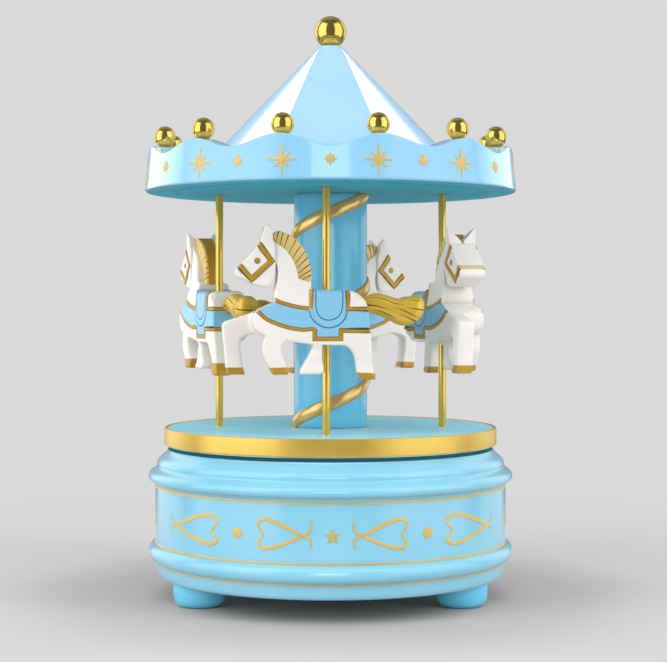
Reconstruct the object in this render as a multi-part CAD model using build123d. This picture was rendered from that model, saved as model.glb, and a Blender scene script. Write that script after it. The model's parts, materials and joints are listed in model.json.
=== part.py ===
from build123d import *
from collections import namedtuple
import math
import os

# Carousel music box, millimetres, +Z up.
# Origin: centre of the footprint on the table. The viewer's side is -Y.
# The base stands still; the turntable, column, horses and canopy turn on +Z
# and drive a small comb-and-cylinder movement hung under the base deck.
# LOW and TOP are heights, R is a radius. Cutters overrun the faces they break through.

os.makedirs("parts", exist_ok=True)

# ---------------------------------------------------------------- dimensions
GAP = 0.03                     # clearance of pieces fitted by hand, and of screw threads
PLAY = 0.04                    # radial play of turning pivots

# feet
FOOT_R = 7.65
FOOT_H = 6.65
FOOT_POS_R = 44.1              # feet centres on this circle
FOOT_ANGLES = {"foot_left": 210.0, "foot_right": 330.0, "foot_rear": 90.0}

# base drum and bottom plate
BASE_LOW = FOOT_H
PLATE_R = 50.8
PLATE_T = 3.0
PLATE_TOP = BASE_LOW + PLATE_T
PLATE_SEAT_R = PLATE_R + 0.05  # recess of the drum around the plate
PLATE_SINK = 1.3               # depth of the screw head recesses
CAVITY_R = 46.0                # inside of the drum
DECK_TOP = 44.2
DECK_UNDER = 40.2
BUSH_R = 4.6
BUSH_FLANGE_R = 6.4
BUSH_TOP = DECK_TOP + 0.75

# turntable
TABLE_LOW = 45.35
TABLE_TOP = 50.6
TABLE_R = 49.6
TABLE_EDGE_R = TABLE_R - 0.02  # fits inside the rim band
TABLE_T = 3.0
SKIRT_IN_R = TABLE_R - 2.2
HUB_R = 12.0
RIM_R = 50.4
RIM_BEVEL = 0.25
TABLE_SINK = 1.7               # depth of the screw head recesses

# winding shaft
SHAFT_R = 3.0
SHAFT_BORE_R = SHAFT_R + PLAY
SHAFT_LOW = 23.6
SHAFT_TOP = 55.2
SHAFT_STUD_R = 1.9
SQUARE_AF = 4.2                # across flats, inside the turntable hub
GROOVE_R = 2.5                 # shaft groove that holds the clip
GROOVE_LOW, GROOVE_TOP = 24.15, 24.75

# column and its spiral bead
COLUMN_R = 11.07
COLUMN_WALL = 1.7
COLUMN_END_T = 2.6             # closed ends of the tube
COLUMN_TOP = 121.2
BEAD_PITCH = 28.6
BEAD_W = 3.8
BEAD_H = 0.95
BEAD_START_DEG = -183.15       # angle of the bead where it leaves the turntable
BEAD_GAP = 0.02                # from the column, and from each end of it
BEAD_OVERRUN = 4.0             # swept past each end, then trimmed

# poles and horses
POLE_R = 1.15
POLE_WALL = 0.35
POLE_POS_R = 34.0
POLE_LOW = 48.4
POLE_TOP = 122.9
# name: angle of the pole, yaw of the horse, lift of the horse
POLES = {
    "front": (-92.0, 187.0, 0.0),
    "left": (178.0, 113.5, 0.0),
    "rear": (88.0, 29.0, -1.0),
    "right": (-2.0, -67.0, 0.0),
}
SADDLE_SHIFT = 0.7             # brings the middle of the saddle onto the pole

# canopy
FASCIA_LOW = 121.7
FASCIA_TOP = 136.0
FASCIA_IN_R = 48.0
SCALLOP_MID = 133.05           # mean height of the scalloped edge
SCALLOP_AMP = 1.55
SCALLOPS = 12
CEIL_TOP = 124.2
CEIL_STEP_R = 45.0             # underside disc, down to the column's top
LIP_R = 44.6                   # inner edge of the fascia's flange
LIP_TOP = 126.2
ROOF_SLOPE = 0.9596            # radius lost per millimetre of height
ROOF_R = 43.95                 # radius at the foot of the cone
ROOF_WALL = 2.4
ROOF_TOP = 166.4
ROOF_TIP_T = 6.0               # solid tip of the cone
RIM_BALL_R = 3.05
RIM_BALL_POS_R = 50.9
RIM_BALL_Z = 137.3
RIM_PEG_R = 0.8
FINIAL_R = 4.85
FINIAL_Z = 170.8
FINIAL_PEG_R = 1.5
BALL_GAP = 0.02                # around balls in their seats

# movement: plates and spring housing
BED_T = 2.0
BED_LOW = DECK_UNDER - BED_T
PEDESTAL_X = (19.0, 37.0)
PEDESTAL_Y = (-24.5, -18.6)
PEDESTAL_LOW = 22.3
HOUSING_R = 16.4
HOUSING_WALL = 0.8
HOUSING_LOW = 28.2
HOUSING_TAB_T = 1.0
SPRING_TURNS = 9.0
SPRING_PITCH = 1.22
SPRING_T = 0.3
SPRING_IN_R = 4.0
SPRING_LOW = HOUSING_LOW + 1.3
SPRING_TOP = BED_LOW - 0.6
FLANGE_LOW = BED_LOW - 1.2     # underside of the bracket flanges
BRACKET_LOW = 17.5

# movement: cylinder and comb
AXIS_Z = 21.0                  # height of the cylinder axis, which runs along X
ARBOR_R = 1.0
CROWN_PITCH_R = 11.0
CROWN_TEETH = 40
PINION_TEETH = 16
PINION_PITCH_R = CROWN_PITCH_R * PINION_TEETH / CROWN_TEETH
DRUM_R = 6.5
DRUM_X0, DRUM_X1 = 19.2, 37.2
DRUM_MARGIN = 0.6              # bare strip at each end of the drum
PIN_R = 0.19
PIN_H = 0.45
PIN_COUNT = 54
COMB_TEETH = 18
TRACK = (DRUM_X1 - DRUM_X0 - 2 * DRUM_MARGIN) / COMB_TEETH
# comb tooth of each of the 18 notes, numbered from the inner end
TUNE = [0, 7, 12, 4, 9, 16, 2, 11, 6, 14, 3, 10, 17, 5, 13, 1, 8, 15]
COMB_LOW, COMB_TOP = 20.55, 21.35
COMB_ROOT_Y = -17.9            # root of the first slot
COMB_ROOT_STEP = 0.34          # each slot is shorter by this
COMB_SLOT_HALF = 0.13

# movement: governor
WHEEL_X = 38.4                 # cylinder wheel and governor pinion
WHEEL_TEETH, GOV_PINION_TEETH = 46, 10
WHEEL_MODULE = 0.45
WHEEL_PITCH_R = WHEEL_MODULE * WHEEL_TEETH / 2
GOV_PINION_PITCH_R = WHEEL_MODULE * GOV_PINION_TEETH / 2
GOV_ARBOR_R = 0.8
GOV_Y = 11.5
GOV_Z = AXIS_Z + math.sqrt((WHEEL_PITCH_R + GOV_PINION_PITCH_R) ** 2 - GOV_Y ** 2)
MESH_DEG = math.degrees(math.atan2(GOV_Z - AXIS_Z, GOV_Y))
WORM_MODULE = 0.4
WORM_WHEEL_TEETH = 24
WORM_WHEEL_PITCH_R = WORM_MODULE * WORM_WHEEL_TEETH / 2
WORM_R = 1.2
WORM_TURNS = 5
WORM_CORE_R = 0.68
WORM_CORE_HALF = 4.2
SPINDLE_R = 0.5
FAN_X = 34.0
FAN_Y = GOV_Y + WORM_WHEEL_PITCH_R + WORM_R
ARM_HALF = 2.4                 # half width of the arms that hold the fan spindle

# screws
Screw = namedtuple("Screw", "head_r head_h shank_r length")
PLATE_SCREW = Screw(2.15, 1.2, 1.0, 8.2)
FOOT_SCREW = Screw(1.8, 1.2, 1.0, 7.4)
BED_SCREW = Screw(2.0, 1.1, 0.9, BED_T + 3.0)
HOUSING_SCREW = Screw(1.5, 0.8, 0.7, 2.4)
BRACKET_SCREW = Screw(1.4, 0.8, 0.7, 2.6)
COMB_SCREW = Screw(1.7, 1.0, 0.9, 6.2)
COLUMN_SCREW = Screw(1.85, 1.1, 0.9, 6.0)
CEILING_SCREW = Screw(1.85, 1.1, 0.9, 5.4)
LIP_SCREW = Screw(1.35, 0.7, 0.55, 3.7)


# ------------------------------------------------------------------- helpers
def polar(radius, deg):
    return radius * math.cos(math.radians(deg)), radius * math.sin(math.radians(deg))


def ring(radius, angles):
    return [polar(radius, angle) for angle in angles]


def cyl(radius, z0, z1, x=0.0, y=0.0):
    return Pos(x, y, (z0 + z1) / 2) * Cylinder(radius, z1 - z0)


def cyl_x(radius, x0, x1, y=0.0, z=0.0):
    return Pos((x0 + x1) / 2, y, z) * Rot(0, 90, 0) * Cylinder(radius, x1 - x0)


def block(x0, x1, y0, y1, z0, z1):
    return Pos((x0 + x1) / 2, (y0 + y1) / 2, (z0 + z1) / 2) * Box(
        x1 - x0, y1 - y0, z1 - z0)


def turned(points):
    """Body of revolution about +Z from (radius, z) points."""
    wire = Wire(Polyline(*[(radius, 0, z) for radius, z in points], close=True))
    return revolve(Face(wire), Axis.Z)


def prism_xz(points, y0, y1):
    """Prism along Y from (x, z) points."""
    wire = Wire(Polyline(*[(x, y0, z) for x, z in points], close=True))
    return extrude(Face(wire), amount=y1 - y0, dir=(0, 1, 0))


def drill(part, places, *holes):
    """Cut every (radius, z0, z1) hole at each (x, y) place."""
    for x, y in places:
        for radius, z0, z1 in holes:
            part -= cyl(radius, z0, z1, x, y)
    return part


def pilot(screw):
    """Radius of the threaded hole for a screw."""
    return screw.shank_r + GAP


def gear(at, bore_r, teeth, pitch_r, addendum, dedendum, width, share, phase):
    """Bored spur gear on an X axis through `at`, with straight-flanked teeth.

    share is the tooth's part of the pitch, phase the angle of one tooth.
    """
    step = 360.0 / teeth
    root, tip = pitch_r - dedendum, pitch_r + addendum
    half_root = step * share * 0.5 * 1.35
    half_tip = step * share * 0.5 * 0.6
    points = []
    for i in range(teeth):
        mid = phase + i * step
        for angle, radius in ((mid - step / 2, root), (mid - half_root, root),
                              (mid - half_tip, tip), (mid + half_tip, tip),
                              (mid + half_root, root)):
            points.append((-width / 2, *polar(radius, angle)))
    blank = extrude(Face(Wire(Polyline(*points, close=True))), amount=width, dir=(1, 0, 0))
    x, y, z = at
    return Pos(x, y, z) * blank - cyl_x(bore_r, x - width, x + width, y, z)


def one(shape):
    """The single solid of a shape, or a compound of its solids."""
    found = shape.solids()
    if len(found) == 1:
        return found[0]
    return Compound(children=list(found))


def save(name, shape):
    if not isinstance(shape, Compound) or len(shape.solids()) == 1:
        shape = one(shape)
    shape.label = name
    export_step(shape, "parts/%s.step" % name)


def save_group(name, shapes):
    group = Compound(children=[solid for shape in shapes for solid in shape.solids()])
    group.label = name
    export_step(group, "parts/%s.step" % name)


def save_screws(name, screw, places, z, head_up=False):
    """Slotted pan head screws with the underside of the head at height z."""
    half_slot = 0.18
    body = cyl(screw.shank_r, 0, screw.length) + cyl(screw.head_r, -screw.head_h, 0)
    body -= block(-screw.head_r, screw.head_r, -half_slot, half_slot,
                  -screw.head_h, -screw.head_h * 0.55)
    turn = Rot(180 if head_up else 0, 0, 0)
    save_group(name, [Pos(x, y, z) * turn * body for x, y in places])


# --------------------------------------------------------------- screw places
PLATE_SCREWS = ring(48.4, (-90.0, 30.0, 150.0))
FOOT_PLACES = ring(FOOT_POS_R, FOOT_ANGLES.values())
BED_SCREWS = [(-17.0, 16.0), (-17.0, -18.0), (10.0, -22.5), (40.0, -8.0), (22.0, 21.0)]
COMB_SCREWS = [(21.5, -21.6), (28.0, -21.6), (34.5, -21.6)]
HOUSING_TABS = ring(18.3, (60.0, 180.0, 300.0))
# one in the inner bracket, two in the outer, one in the governor bracket
BRACKET_SCREWS = [(21.4, 0.0), (36.8, 0.0), (36.8, 12.5), (33.4, 14.5)]
COLUMN_SCREWS = ring(7.3, (30.0, 150.0, 270.0))
LIP_SCREWS = ring(46.6, (0, 60, 120, 180, 240, 300))
POLE_PLACES = ring(POLE_POS_R, [angle for angle, yaw, lift in POLES.values()])

# ------------------------------------------------------------------ the base
# (radius, z): up the moulded outside, over the deck, back down the bush hole
BASE_PROFILE = [
    (CAVITY_R, PLATE_TOP), (PLATE_SEAT_R, PLATE_TOP), (PLATE_SEAT_R, BASE_LOW),
    (52.0, BASE_LOW), (52.6, BASE_LOW + 0.5), (52.85, BASE_LOW + 1.3), (52.85, 10.8),
    (53.3, 11.15), (54.3, 11.9), (54.9, 12.9), (55.1, 14.0), (54.9, 15.0), (54.1, 16.0),
    (53.1, 16.6), (53.1, 33.6), (53.7, 34.6), (54.75, 35.5), (55.1, 36.4), (54.95, 37.0),
    (54.3, 37.6), (53.3, 38.2), (52.5, 39.1), (52.35, 40.0), (52.1, 40.7), (51.5, 41.6),
    (50.6, 42.8), (49.7, 43.9), (49.3, DECK_TOP), (BUSH_R + GAP, DECK_TOP),
    (BUSH_R + GAP, DECK_UNDER), (CAVITY_R, DECK_UNDER)]
base_drum = turned(BASE_PROFILE)
base_drum = drill(base_drum, BED_SCREWS, (pilot(BED_SCREW), DECK_UNDER - 1, DECK_UNDER + 3.2))
base_drum = drill(base_drum, PLATE_SCREWS,
                  (pilot(PLATE_SCREW), PLATE_TOP - 0.5, PLATE_TOP + 7.0))
save("base_drum", base_drum)

bottom_plate = cyl(PLATE_R, BASE_LOW, PLATE_TOP)
bottom_plate = drill(bottom_plate, PLATE_SCREWS, (1.15, BASE_LOW - 1, PLATE_TOP + 1),
                     (2.3, BASE_LOW - 1, BASE_LOW + PLATE_SINK))
bottom_plate = drill(bottom_plate, FOOT_PLACES, (1.25, BASE_LOW - 1, PLATE_TOP + 1))
# sound slots in the plate
for i in range(5):
    y = -14.0 + 7.0 * i
    bottom_plate -= block(-14, 14, y - 1.0, y + 1.0, BASE_LOW - 1, PLATE_TOP + 1)
save("bottom_plate", bottom_plate)
save_screws("bottom_plate_screws", PLATE_SCREW, PLATE_SCREWS, BASE_LOW + PLATE_SINK)

# (radius, z), with the blind screw hole down from the top
FOOT_PROFILE = [(0, 0), (5.2, 0), (6.1, 0.35), (6.9, 1.2), (7.4, 2.4), (FOOT_R, 4.0),
                (FOOT_R, FOOT_H), (1.08, FOOT_H), (1.08, 1.9), (0, 1.9)]
foot = turned(FOOT_PROFILE)
for name, (x, y) in zip(FOOT_ANGLES, FOOT_PLACES):
    save(name, Pos(x, y, 0) * foot)
save_screws("foot_screws", FOOT_SCREW, FOOT_PLACES, PLATE_TOP, head_up=True)

save("deck_bush", cyl(BUSH_R, DECK_UNDER, DECK_TOP) + cyl(BUSH_FLANGE_R, DECK_TOP, BUSH_TOP)
     - cyl(SHAFT_BORE_R, DECK_UNDER - 1, DECK_TOP + 2))
save("thrust_washer", cyl(5.6, BUSH_TOP, TABLE_LOW - GAP)
     - cyl(SHAFT_R + 0.08, DECK_TOP, TABLE_LOW + 1))

# ---------------------------------------------------------- movement: frame
bed = block(-20.5, 43.0, -25.0, 24.5, BED_LOW, DECK_UNDER) & cyl(45.6, BED_LOW, DECK_UNDER)
bed -= cyl(SHAFT_R + 0.6, BED_LOW - 1, DECK_UNDER + 1)
# pedestal that carries the comb
bed += block(*PEDESTAL_X, *PEDESTAL_Y, PEDESTAL_LOW, BED_LOW)
bed = drill(bed, BED_SCREWS, (1.1, BED_LOW - 1, DECK_UNDER + 1))
bed = drill(bed, COMB_SCREWS, (pilot(COMB_SCREW), PEDESTAL_LOW - 1, PEDESTAL_LOW + 5.0))
bed = drill(bed, HOUSING_TABS, (pilot(HOUSING_SCREW), BED_LOW - 1, BED_LOW + 1.6))
bed = drill(bed, BRACKET_SCREWS, (pilot(BRACKET_SCREW), BED_LOW - 1, BED_LOW + 1.6))
save("movement_bedplate", bed)
save_screws("movement_screws", BED_SCREW, BED_SCREWS, BED_LOW)

# spring housing: a cup open at the top, with three screw tabs
housing = (cyl(HOUSING_R, HOUSING_LOW, BED_LOW)
           - cyl(HOUSING_R - HOUSING_WALL, HOUSING_LOW + 0.9, BED_LOW + 1)
           - cyl(SHAFT_BORE_R, HOUSING_LOW - 1, HOUSING_LOW + 2))
for x, y in HOUSING_TABS:
    tab = cyl(2.3, BED_LOW - HOUSING_TAB_T, BED_LOW, x, y)
    housing += tab - cyl(HOUSING_R - HOUSING_WALL / 2, BED_LOW - 2, BED_LOW + 1)
housing = drill(housing, HOUSING_TABS, (0.78, BED_LOW - 2, BED_LOW + 1))
save("spring_housing", housing)
save_screws("housing_screws", HOUSING_SCREW, HOUSING_TABS, BED_LOW - HOUSING_TAB_T)


def spring_edge(offset):
    """Points of the mainspring's flat spiral, 24 to a turn."""
    points = []
    for i in range(int(SPRING_TURNS * 24) + 1):
        angle = 2 * math.pi * i / 24
        radius = SPRING_IN_R + SPRING_PITCH * i / 24 + offset
        points.append((radius * math.cos(angle), radius * math.sin(angle), SPRING_LOW))
    return points


inside, outside = spring_edge(0.0), spring_edge(SPRING_T)
spring_wire = Wire([Spline(*inside), Line(inside[-1], outside[-1]), Spline(*outside),
                    Line(outside[0], inside[0])])
save("mainspring", extrude(Face(spring_wire), amount=SPRING_TOP - SPRING_LOW, dir=(0, 0, 1)))

# brackets: an upright plate with a flange screwed to the bed
bracket_hole = (0.78, BED_LOW - 3, BED_LOW + 1)
inner_bracket = (block(17.4, 18.6, -4.5, 4.5, BRACKET_LOW, BED_LOW)
                 + block(18.6, 23.6, -4.5, 4.5, FLANGE_LOW, BED_LOW))
inner_bracket -= cyl_x(ARBOR_R + PLAY, 16, 20, 0, AXIS_Z)
inner_bracket = drill(inner_bracket, BRACKET_SCREWS[:1], bracket_hole)
save("cylinder_bracket_inner", inner_bracket)

outer_bracket = (block(39.7, 40.9, -4.0, 15.0, BRACKET_LOW, BED_LOW)
                 + block(34.6, 39.7, -4.0, 15.0, FLANGE_LOW, BED_LOW))
outer_bracket -= cyl_x(ARBOR_R + PLAY, 38, 42, 0, AXIS_Z)
outer_bracket -= cyl_x(GOV_ARBOR_R + PLAY, 38, 42, GOV_Y, GOV_Z)
# notch that clears the governor bracket's flange
outer_bracket -= block(30, 36.0, 8.0, 16.0, BED_LOW - 2, BED_LOW + 1)
outer_bracket = drill(outer_bracket, BRACKET_SCREWS[1:3], bracket_hole)
save("cylinder_bracket_outer", outer_bracket)

# upright, flange, then the upper and lower arms for the fan spindle
gov_bracket = (block(28.4, 29.6, 8.6, 20.3, 11.4, BED_LOW)
               + block(29.6, 35.4, 12.0, 17.0, FLANGE_LOW, BED_LOW)
               + block(29.6, 36.6, FAN_Y - ARM_HALF, FAN_Y + ARM_HALF, 33.4, 34.6)
               + block(29.6, 36.6, FAN_Y - ARM_HALF, FAN_Y + ARM_HALF, 11.4, 12.6))
gov_bracket -= cyl_x(GOV_ARBOR_R + PLAY, 27, 31, GOV_Y, GOV_Z)
gov_bracket = drill(gov_bracket, [(FAN_X, FAN_Y)],
                    (SPINDLE_R + PLAY, 32.5, 35.5), (SPINDLE_R + PLAY, 12.0, 13.5))
gov_bracket = drill(gov_bracket, BRACKET_SCREWS[3:], bracket_hole)
save("governor_bracket", gov_bracket)
save_screws("bracket_screws", BRACKET_SCREW, BRACKET_SCREWS, FLANGE_LOW)

# comb: heel under the pedestal, teeth reaching the cylinder's -Y side
comb_tip_y = -(DRUM_R + PIN_H + 0.1)
comb = (block(*PEDESTAL_X, PEDESTAL_Y[0], comb_tip_y, COMB_LOW, COMB_TOP)
        + block(*PEDESTAL_X, *PEDESTAL_Y, COMB_LOW, PEDESTAL_LOW))
for i in range(COMB_TEETH - 1):
    x = DRUM_X0 + DRUM_MARGIN + TRACK * (i + 1)
    comb -= block(x - COMB_SLOT_HALF, x + COMB_SLOT_HALF,
                  COMB_ROOT_Y + COMB_ROOT_STEP * i, 0, 20, 22)
# strips cut away beside the first and last teeth
comb -= block(18, DRUM_X0 + DRUM_MARGIN + 0.1, COMB_ROOT_Y, 0, 20, 22)
comb -= block(DRUM_X1 - DRUM_MARGIN - 0.1, 38, -11.5, 0, 20, 22)
comb = drill(comb, COMB_SCREWS, (0.98, 19, 24))
save("comb", comb)
save_screws("comb_screws", COMB_SCREW, COMB_SCREWS, COMB_LOW)

# ------------------------------------------------------- movement: cylinder
save("cylinder_arbor", cyl_x(ARBOR_R, 8.6, 41.8, 0, AXIS_Z))

drum = (cyl_x(DRUM_R, DRUM_X0, DRUM_X1, 0, AXIS_Z)
        - cyl_x(ARBOR_R, DRUM_X0 - 1, DRUM_X1 + 1, 0, AXIS_Z))
pins = []
for i in range(PIN_COUNT):
    note = TUNE[(i * 5 + i // COMB_TEETH) % COMB_TEETH]
    x = DRUM_X0 + DRUM_MARGIN + TRACK * (note + 0.5)
    pins.append(Pos(0, 0, AXIS_Z) * Rot(360.0 * i / PIN_COUNT, 0, 0)
                * cyl(PIN_R, DRUM_R - 0.4, DRUM_R + PIN_H, x, 0))
save("music_cylinder", drum + pins)

save("cylinder_pinion", gear(
    at=(CROWN_PITCH_R, 0, AXIS_Z), bore_r=ARBOR_R, teeth=PINION_TEETH,
    pitch_r=PINION_PITCH_R, addendum=0.42, dedendum=0.55, width=3.4, share=0.36, phase=90.0))

cylinder_wheel = gear(
    at=(WHEEL_X, 0, AXIS_Z), bore_r=ARBOR_R, teeth=WHEEL_TEETH, pitch_r=WHEEL_PITCH_R,
    addendum=0.34, dedendum=0.5, width=1.0, share=0.38, phase=MESH_DEG)
# four round windows
for y, z in ring(5.6, (45, 135, 225, 315)):
    cylinder_wheel -= cyl_x(2.6, 37, 40, y, AXIS_Z + z)
save("cylinder_wheel", cylinder_wheel)

# ------------------------------------------------------- movement: governor
save("governor_arbor", cyl_x(GOV_ARBOR_R, 28.2, 41.4, GOV_Y, GOV_Z))
save("governor_pinion", gear(
    at=(WHEEL_X, GOV_Y, GOV_Z), bore_r=GOV_ARBOR_R, teeth=GOV_PINION_TEETH,
    pitch_r=GOV_PINION_PITCH_R, addendum=0.34, dedendum=0.5, width=1.5, share=0.38,
    phase=MESH_DEG + 180 + 180.0 / GOV_PINION_TEETH))
save("worm_wheel", gear(
    at=(FAN_X, GOV_Y, GOV_Z), bore_r=GOV_ARBOR_R, teeth=WORM_WHEEL_TEETH,
    pitch_r=WORM_WHEEL_PITCH_R, addendum=0.32, dedendum=0.5, width=1.1, share=0.34,
    phase=180.0 / WORM_WHEEL_TEETH))

# fan spindle with its worm thread
spindle = (cyl(SPINDLE_R, 12.1, 34.55, FAN_X, FAN_Y)
           + cyl(WORM_CORE_R, GOV_Z - WORM_CORE_HALF, GOV_Z + WORM_CORE_HALF, FAN_X, FAN_Y))
worm_pitch = math.pi * WORM_MODULE
worm_len = worm_pitch * WORM_TURNS
helix = Helix(pitch=worm_pitch, height=worm_len, radius=WORM_R, center=(0, 0, -worm_len / 2))
section_plane = Plane(origin=helix @ 0, x_dir=(1, 0, 0), z_dir=helix % 0)
# thread section: (outward, along the spindle)
section = section_plane * make_face(Polyline(
    (-0.62, -0.33), (0.32, -0.12), (0.32, 0.12), (-0.62, 0.33), close=True))
thread = sweep(section, path=helix, is_frenet=True)
save("fan_spindle", spindle + Pos(FAN_X, FAN_Y, GOV_Z) * Rot(0, 0, 90.0) * thread)

fan = (cyl(1.1, 13.6, 19.6, FAN_X, FAN_Y)
       + block(FAN_X - 4.0, FAN_X + 4.0, FAN_Y - 0.2, FAN_Y + 0.2, 14.0, 19.2))
fan -= cyl(SPINDLE_R, 13, 20, FAN_X, FAN_Y)
save("fan_blades", fan)

# ------------------------------------------------------- winding shaft, wheel
square_half = SQUARE_AF / 2
shaft = (cyl(SHAFT_R, SHAFT_LOW, TABLE_LOW)
         + block(-square_half, square_half, -square_half, square_half, TABLE_LOW, TABLE_TOP))
shaft += cyl(SHAFT_STUD_R, TABLE_TOP, SHAFT_TOP)
shaft -= cyl(3.2, GROOVE_LOW, GROOVE_TOP) - cyl(GROOVE_R, GROOVE_LOW, GROOVE_TOP)
save("winding_shaft", shaft)

# crown wheel, its face teeth pointing down at the cylinder pinion
crown_plane = AXIS_Z + PINION_PITCH_R   # pitch plane of the face teeth
crown = cyl(12.7, crown_plane + 0.55, crown_plane + 2.0) - cyl(SHAFT_R, 20, 30)
tooth_pitch = 2 * math.pi * CROWN_PITCH_R / CROWN_TEETH
root_half, tip_half = tooth_pitch * 0.26, tooth_pitch * 0.11
tooth = prism_xz([(-root_half, 0.62), (-tip_half, -0.42), (tip_half, -0.42),
                  (root_half, 0.62)], -1.55, 1.55)
teeth = [Rot(0, 0, 360.0 / CROWN_TEETH * (i + 0.5)) * Pos(CROWN_PITCH_R, 0, crown_plane)
         * Rot(0, 0, 90) * tooth for i in range(CROWN_TEETH)]
save("great_wheel", crown + teeth)

# thin washer with three windows
click = cyl(5.6, 24.8, 25.3) - cyl(SHAFT_R, 24, 26)
for i in range(3):
    click -= Rot(0, 0, 120 * i + 60) * block(3.9, 5.0, -2.2, 2.2, 24, 26)
save("click_spring", click)
# retaining clip, open towards +X
save("shaft_clip", cyl(4.3, 24.2, 24.7) - cyl(GROOVE_R + GAP, 24, 25)
     - block(0, 6, -1.6, 1.6, 24, 25))

nut = extrude(RegularPolygon(4.04, 6), amount=3.0)
save("shaft_nut", Pos(0, 0, TABLE_TOP) * (nut - cyl(SHAFT_STUD_R + GAP, -1, 4)))

# ------------------------------------------------------------------ turntable
table = turned([
    (0, TABLE_TOP), (TABLE_R - 0.35, TABLE_TOP), (TABLE_EDGE_R, TABLE_TOP - 0.3),
    (TABLE_EDGE_R, TABLE_LOW), (SKIRT_IN_R, TABLE_LOW), (SKIRT_IN_R, TABLE_TOP - TABLE_T),
    (HUB_R, TABLE_TOP - TABLE_T), (HUB_R, TABLE_LOW), (0, TABLE_LOW)])
hole_half = square_half + GAP
table -= block(-hole_half, hole_half, -hole_half, hole_half, TABLE_LOW - 1, TABLE_TOP + 1)
table = drill(table, COLUMN_SCREWS, (1.05, TABLE_LOW - 1, TABLE_TOP + 1),
              (2.0, TABLE_LOW - 1, TABLE_LOW + TABLE_SINK))
table = drill(table, POLE_PLACES, (POLE_R + GAP, POLE_LOW, TABLE_TOP + 1))
save("turntable", table)

rim_low = TABLE_LOW + 0.25
save("turntable_rim_band", turned([
    (TABLE_R, rim_low), (RIM_R - RIM_BEVEL, rim_low), (RIM_R, rim_low + RIM_BEVEL),
    (RIM_R, TABLE_TOP - RIM_BEVEL), (RIM_R - RIM_BEVEL, TABLE_TOP), (TABLE_R, TABLE_TOP)]))

# -------------------------------------------------------------------- column
column = (cyl(COLUMN_R, TABLE_TOP, COLUMN_TOP)
          - cyl(COLUMN_R - COLUMN_WALL, TABLE_TOP + COLUMN_END_T, COLUMN_TOP - COLUMN_END_T))
column -= cyl(5.0, TABLE_TOP - 1, TABLE_TOP + 3)   # room for the shaft nut
column = drill(column, COLUMN_SCREWS, (pilot(COLUMN_SCREW), TABLE_TOP - 1, TABLE_TOP + 3),
               (pilot(CEILING_SCREW), COLUMN_TOP - 3, COLUMN_TOP + 1))
save("centre_column", column)
save_screws("column_screws", COLUMN_SCREW, COLUMN_SCREWS, TABLE_LOW + TABLE_SINK)
save_screws("ceiling_screws", CEILING_SCREW, COLUMN_SCREWS, CEIL_TOP, head_up=True)

# spiral bead, swept too long and trimmed to the column
bead_path = Helix(pitch=BEAD_PITCH, height=COLUMN_TOP - TABLE_TOP + 2 * BEAD_OVERRUN,
                  radius=COLUMN_R, center=(0, 0, 0))
bead_plane = Plane(origin=bead_path @ 0, x_dir=(1, 0, 0), z_dir=bead_path % 0)
bead_low, bead_high = (BEAD_GAP, -BEAD_W / 2), (BEAD_GAP, BEAD_W / 2)
bead_face = bead_plane * make_face([
    Line(bead_high, bead_low), ThreePointArc(bead_low, (BEAD_H, 0), bead_high)])
bead = sweep(bead_face, path=bead_path, is_frenet=True)
bead = (Rot(0, 0, BEAD_START_DEG - 360.0 * BEAD_OVERRUN / BEAD_PITCH)
        * Pos(0, 0, TABLE_TOP - BEAD_OVERRUN) * bead)
bead &= cyl(COLUMN_R + 4, TABLE_TOP + BEAD_GAP, COLUMN_TOP - BEAD_GAP)
save("column_spiral", bead)

# -------------------------------------------------------------------- horses
# Side outlines (x, z): +X towards the head, pole on the local Z axis.
TORSO = [
    (18.5, 86.4), (20.1, 85.4), (20.2, 84.3), (16.9, 79.2), (10.9, 77.7), (3.5, 76.5),
    (-4.9, 76.3), (-7.6, 74.6), (-11.9, 76.3), (-12.1, 84.0), (-11.5, 87.7), (-9.6, 89.7),
    (-6.9, 91.6), (-0.2, 92.0), (4.2, 92.1), (4.4, 94.4), (8.0, 95.0), (13.0, 96.2),
    (14.6, 91.0)]
NECK = [
    (15.0, 105.8), (14.6, 106.0), (11.6, 103.3), (8.9, 99.4), (7.9, 95.0), (4.4, 94.2),
    (4.2, 91.0), (10.0, 88.6), (15.6, 88.6), (13.6, 95.6), (14.2, 98.0), (17.0, 100.0)]
HEAD = [
    (18.2, 105.4), (15.0, 106.0), (14.1, 99.8), (15.2, 94.2), (17.5, 92.9), (20.9, 93.5),
    (24.8, 95.4), (25.3, 96.4), (25.0, 97.7), (20.0, 103.4)]
EAR = [(18.2, 105.2), (17.3, 109.0), (16.4, 110.2), (15.3, 108.9), (14.8, 105.0)]
MANE = [
    (14.7, 108.1), (13.5, 108.3), (8.9, 106.4), (5.6, 101.5), (4.4, 97.1), (4.25, 94.3),
    (9.6, 95.0), (10.4, 99.4), (12.6, 103.0), (14.6, 105.0)]
LEG_FORE_RAISED = [
    (19.6, 85.6), (28.2, 82.9), (28.4, 81.8), (27.5, 69.9), (27.2, 67.9), (22.3, 67.9),
    (22.9, 69.9), (23.4, 78.3), (18.2, 79.8), (14.2, 80.5), (13.2, 86.0)]
LEG_FORE = [
    (17.3, 79.2), (17.7, 74.8), (15.6, 69.9), (15.3, 68.1), (10.7, 68.1), (10.8, 70.0),
    (11.9, 73.0), (10.9, 77.6), (11.5, 81.0), (16.5, 81.0)]
LEG_HIND = [
    (-4.9, 78.0), (-4.9, 76.3), (-8.1, 73.0), (-8.6, 69.6), (-9.6, 67.3), (-10.6, 66.6),
    (-13.9, 66.6), (-13.6, 68.4), (-12.9, 76.3), (-12.6, 80.0)]
LEG_HIND_FORWARD = [(4.1, 78.0), (7.3, 69.0), (7.1, 68.1), (1.6, 68.1), (1.3, 70.0),
                    (1.25, 78.0)]
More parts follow.
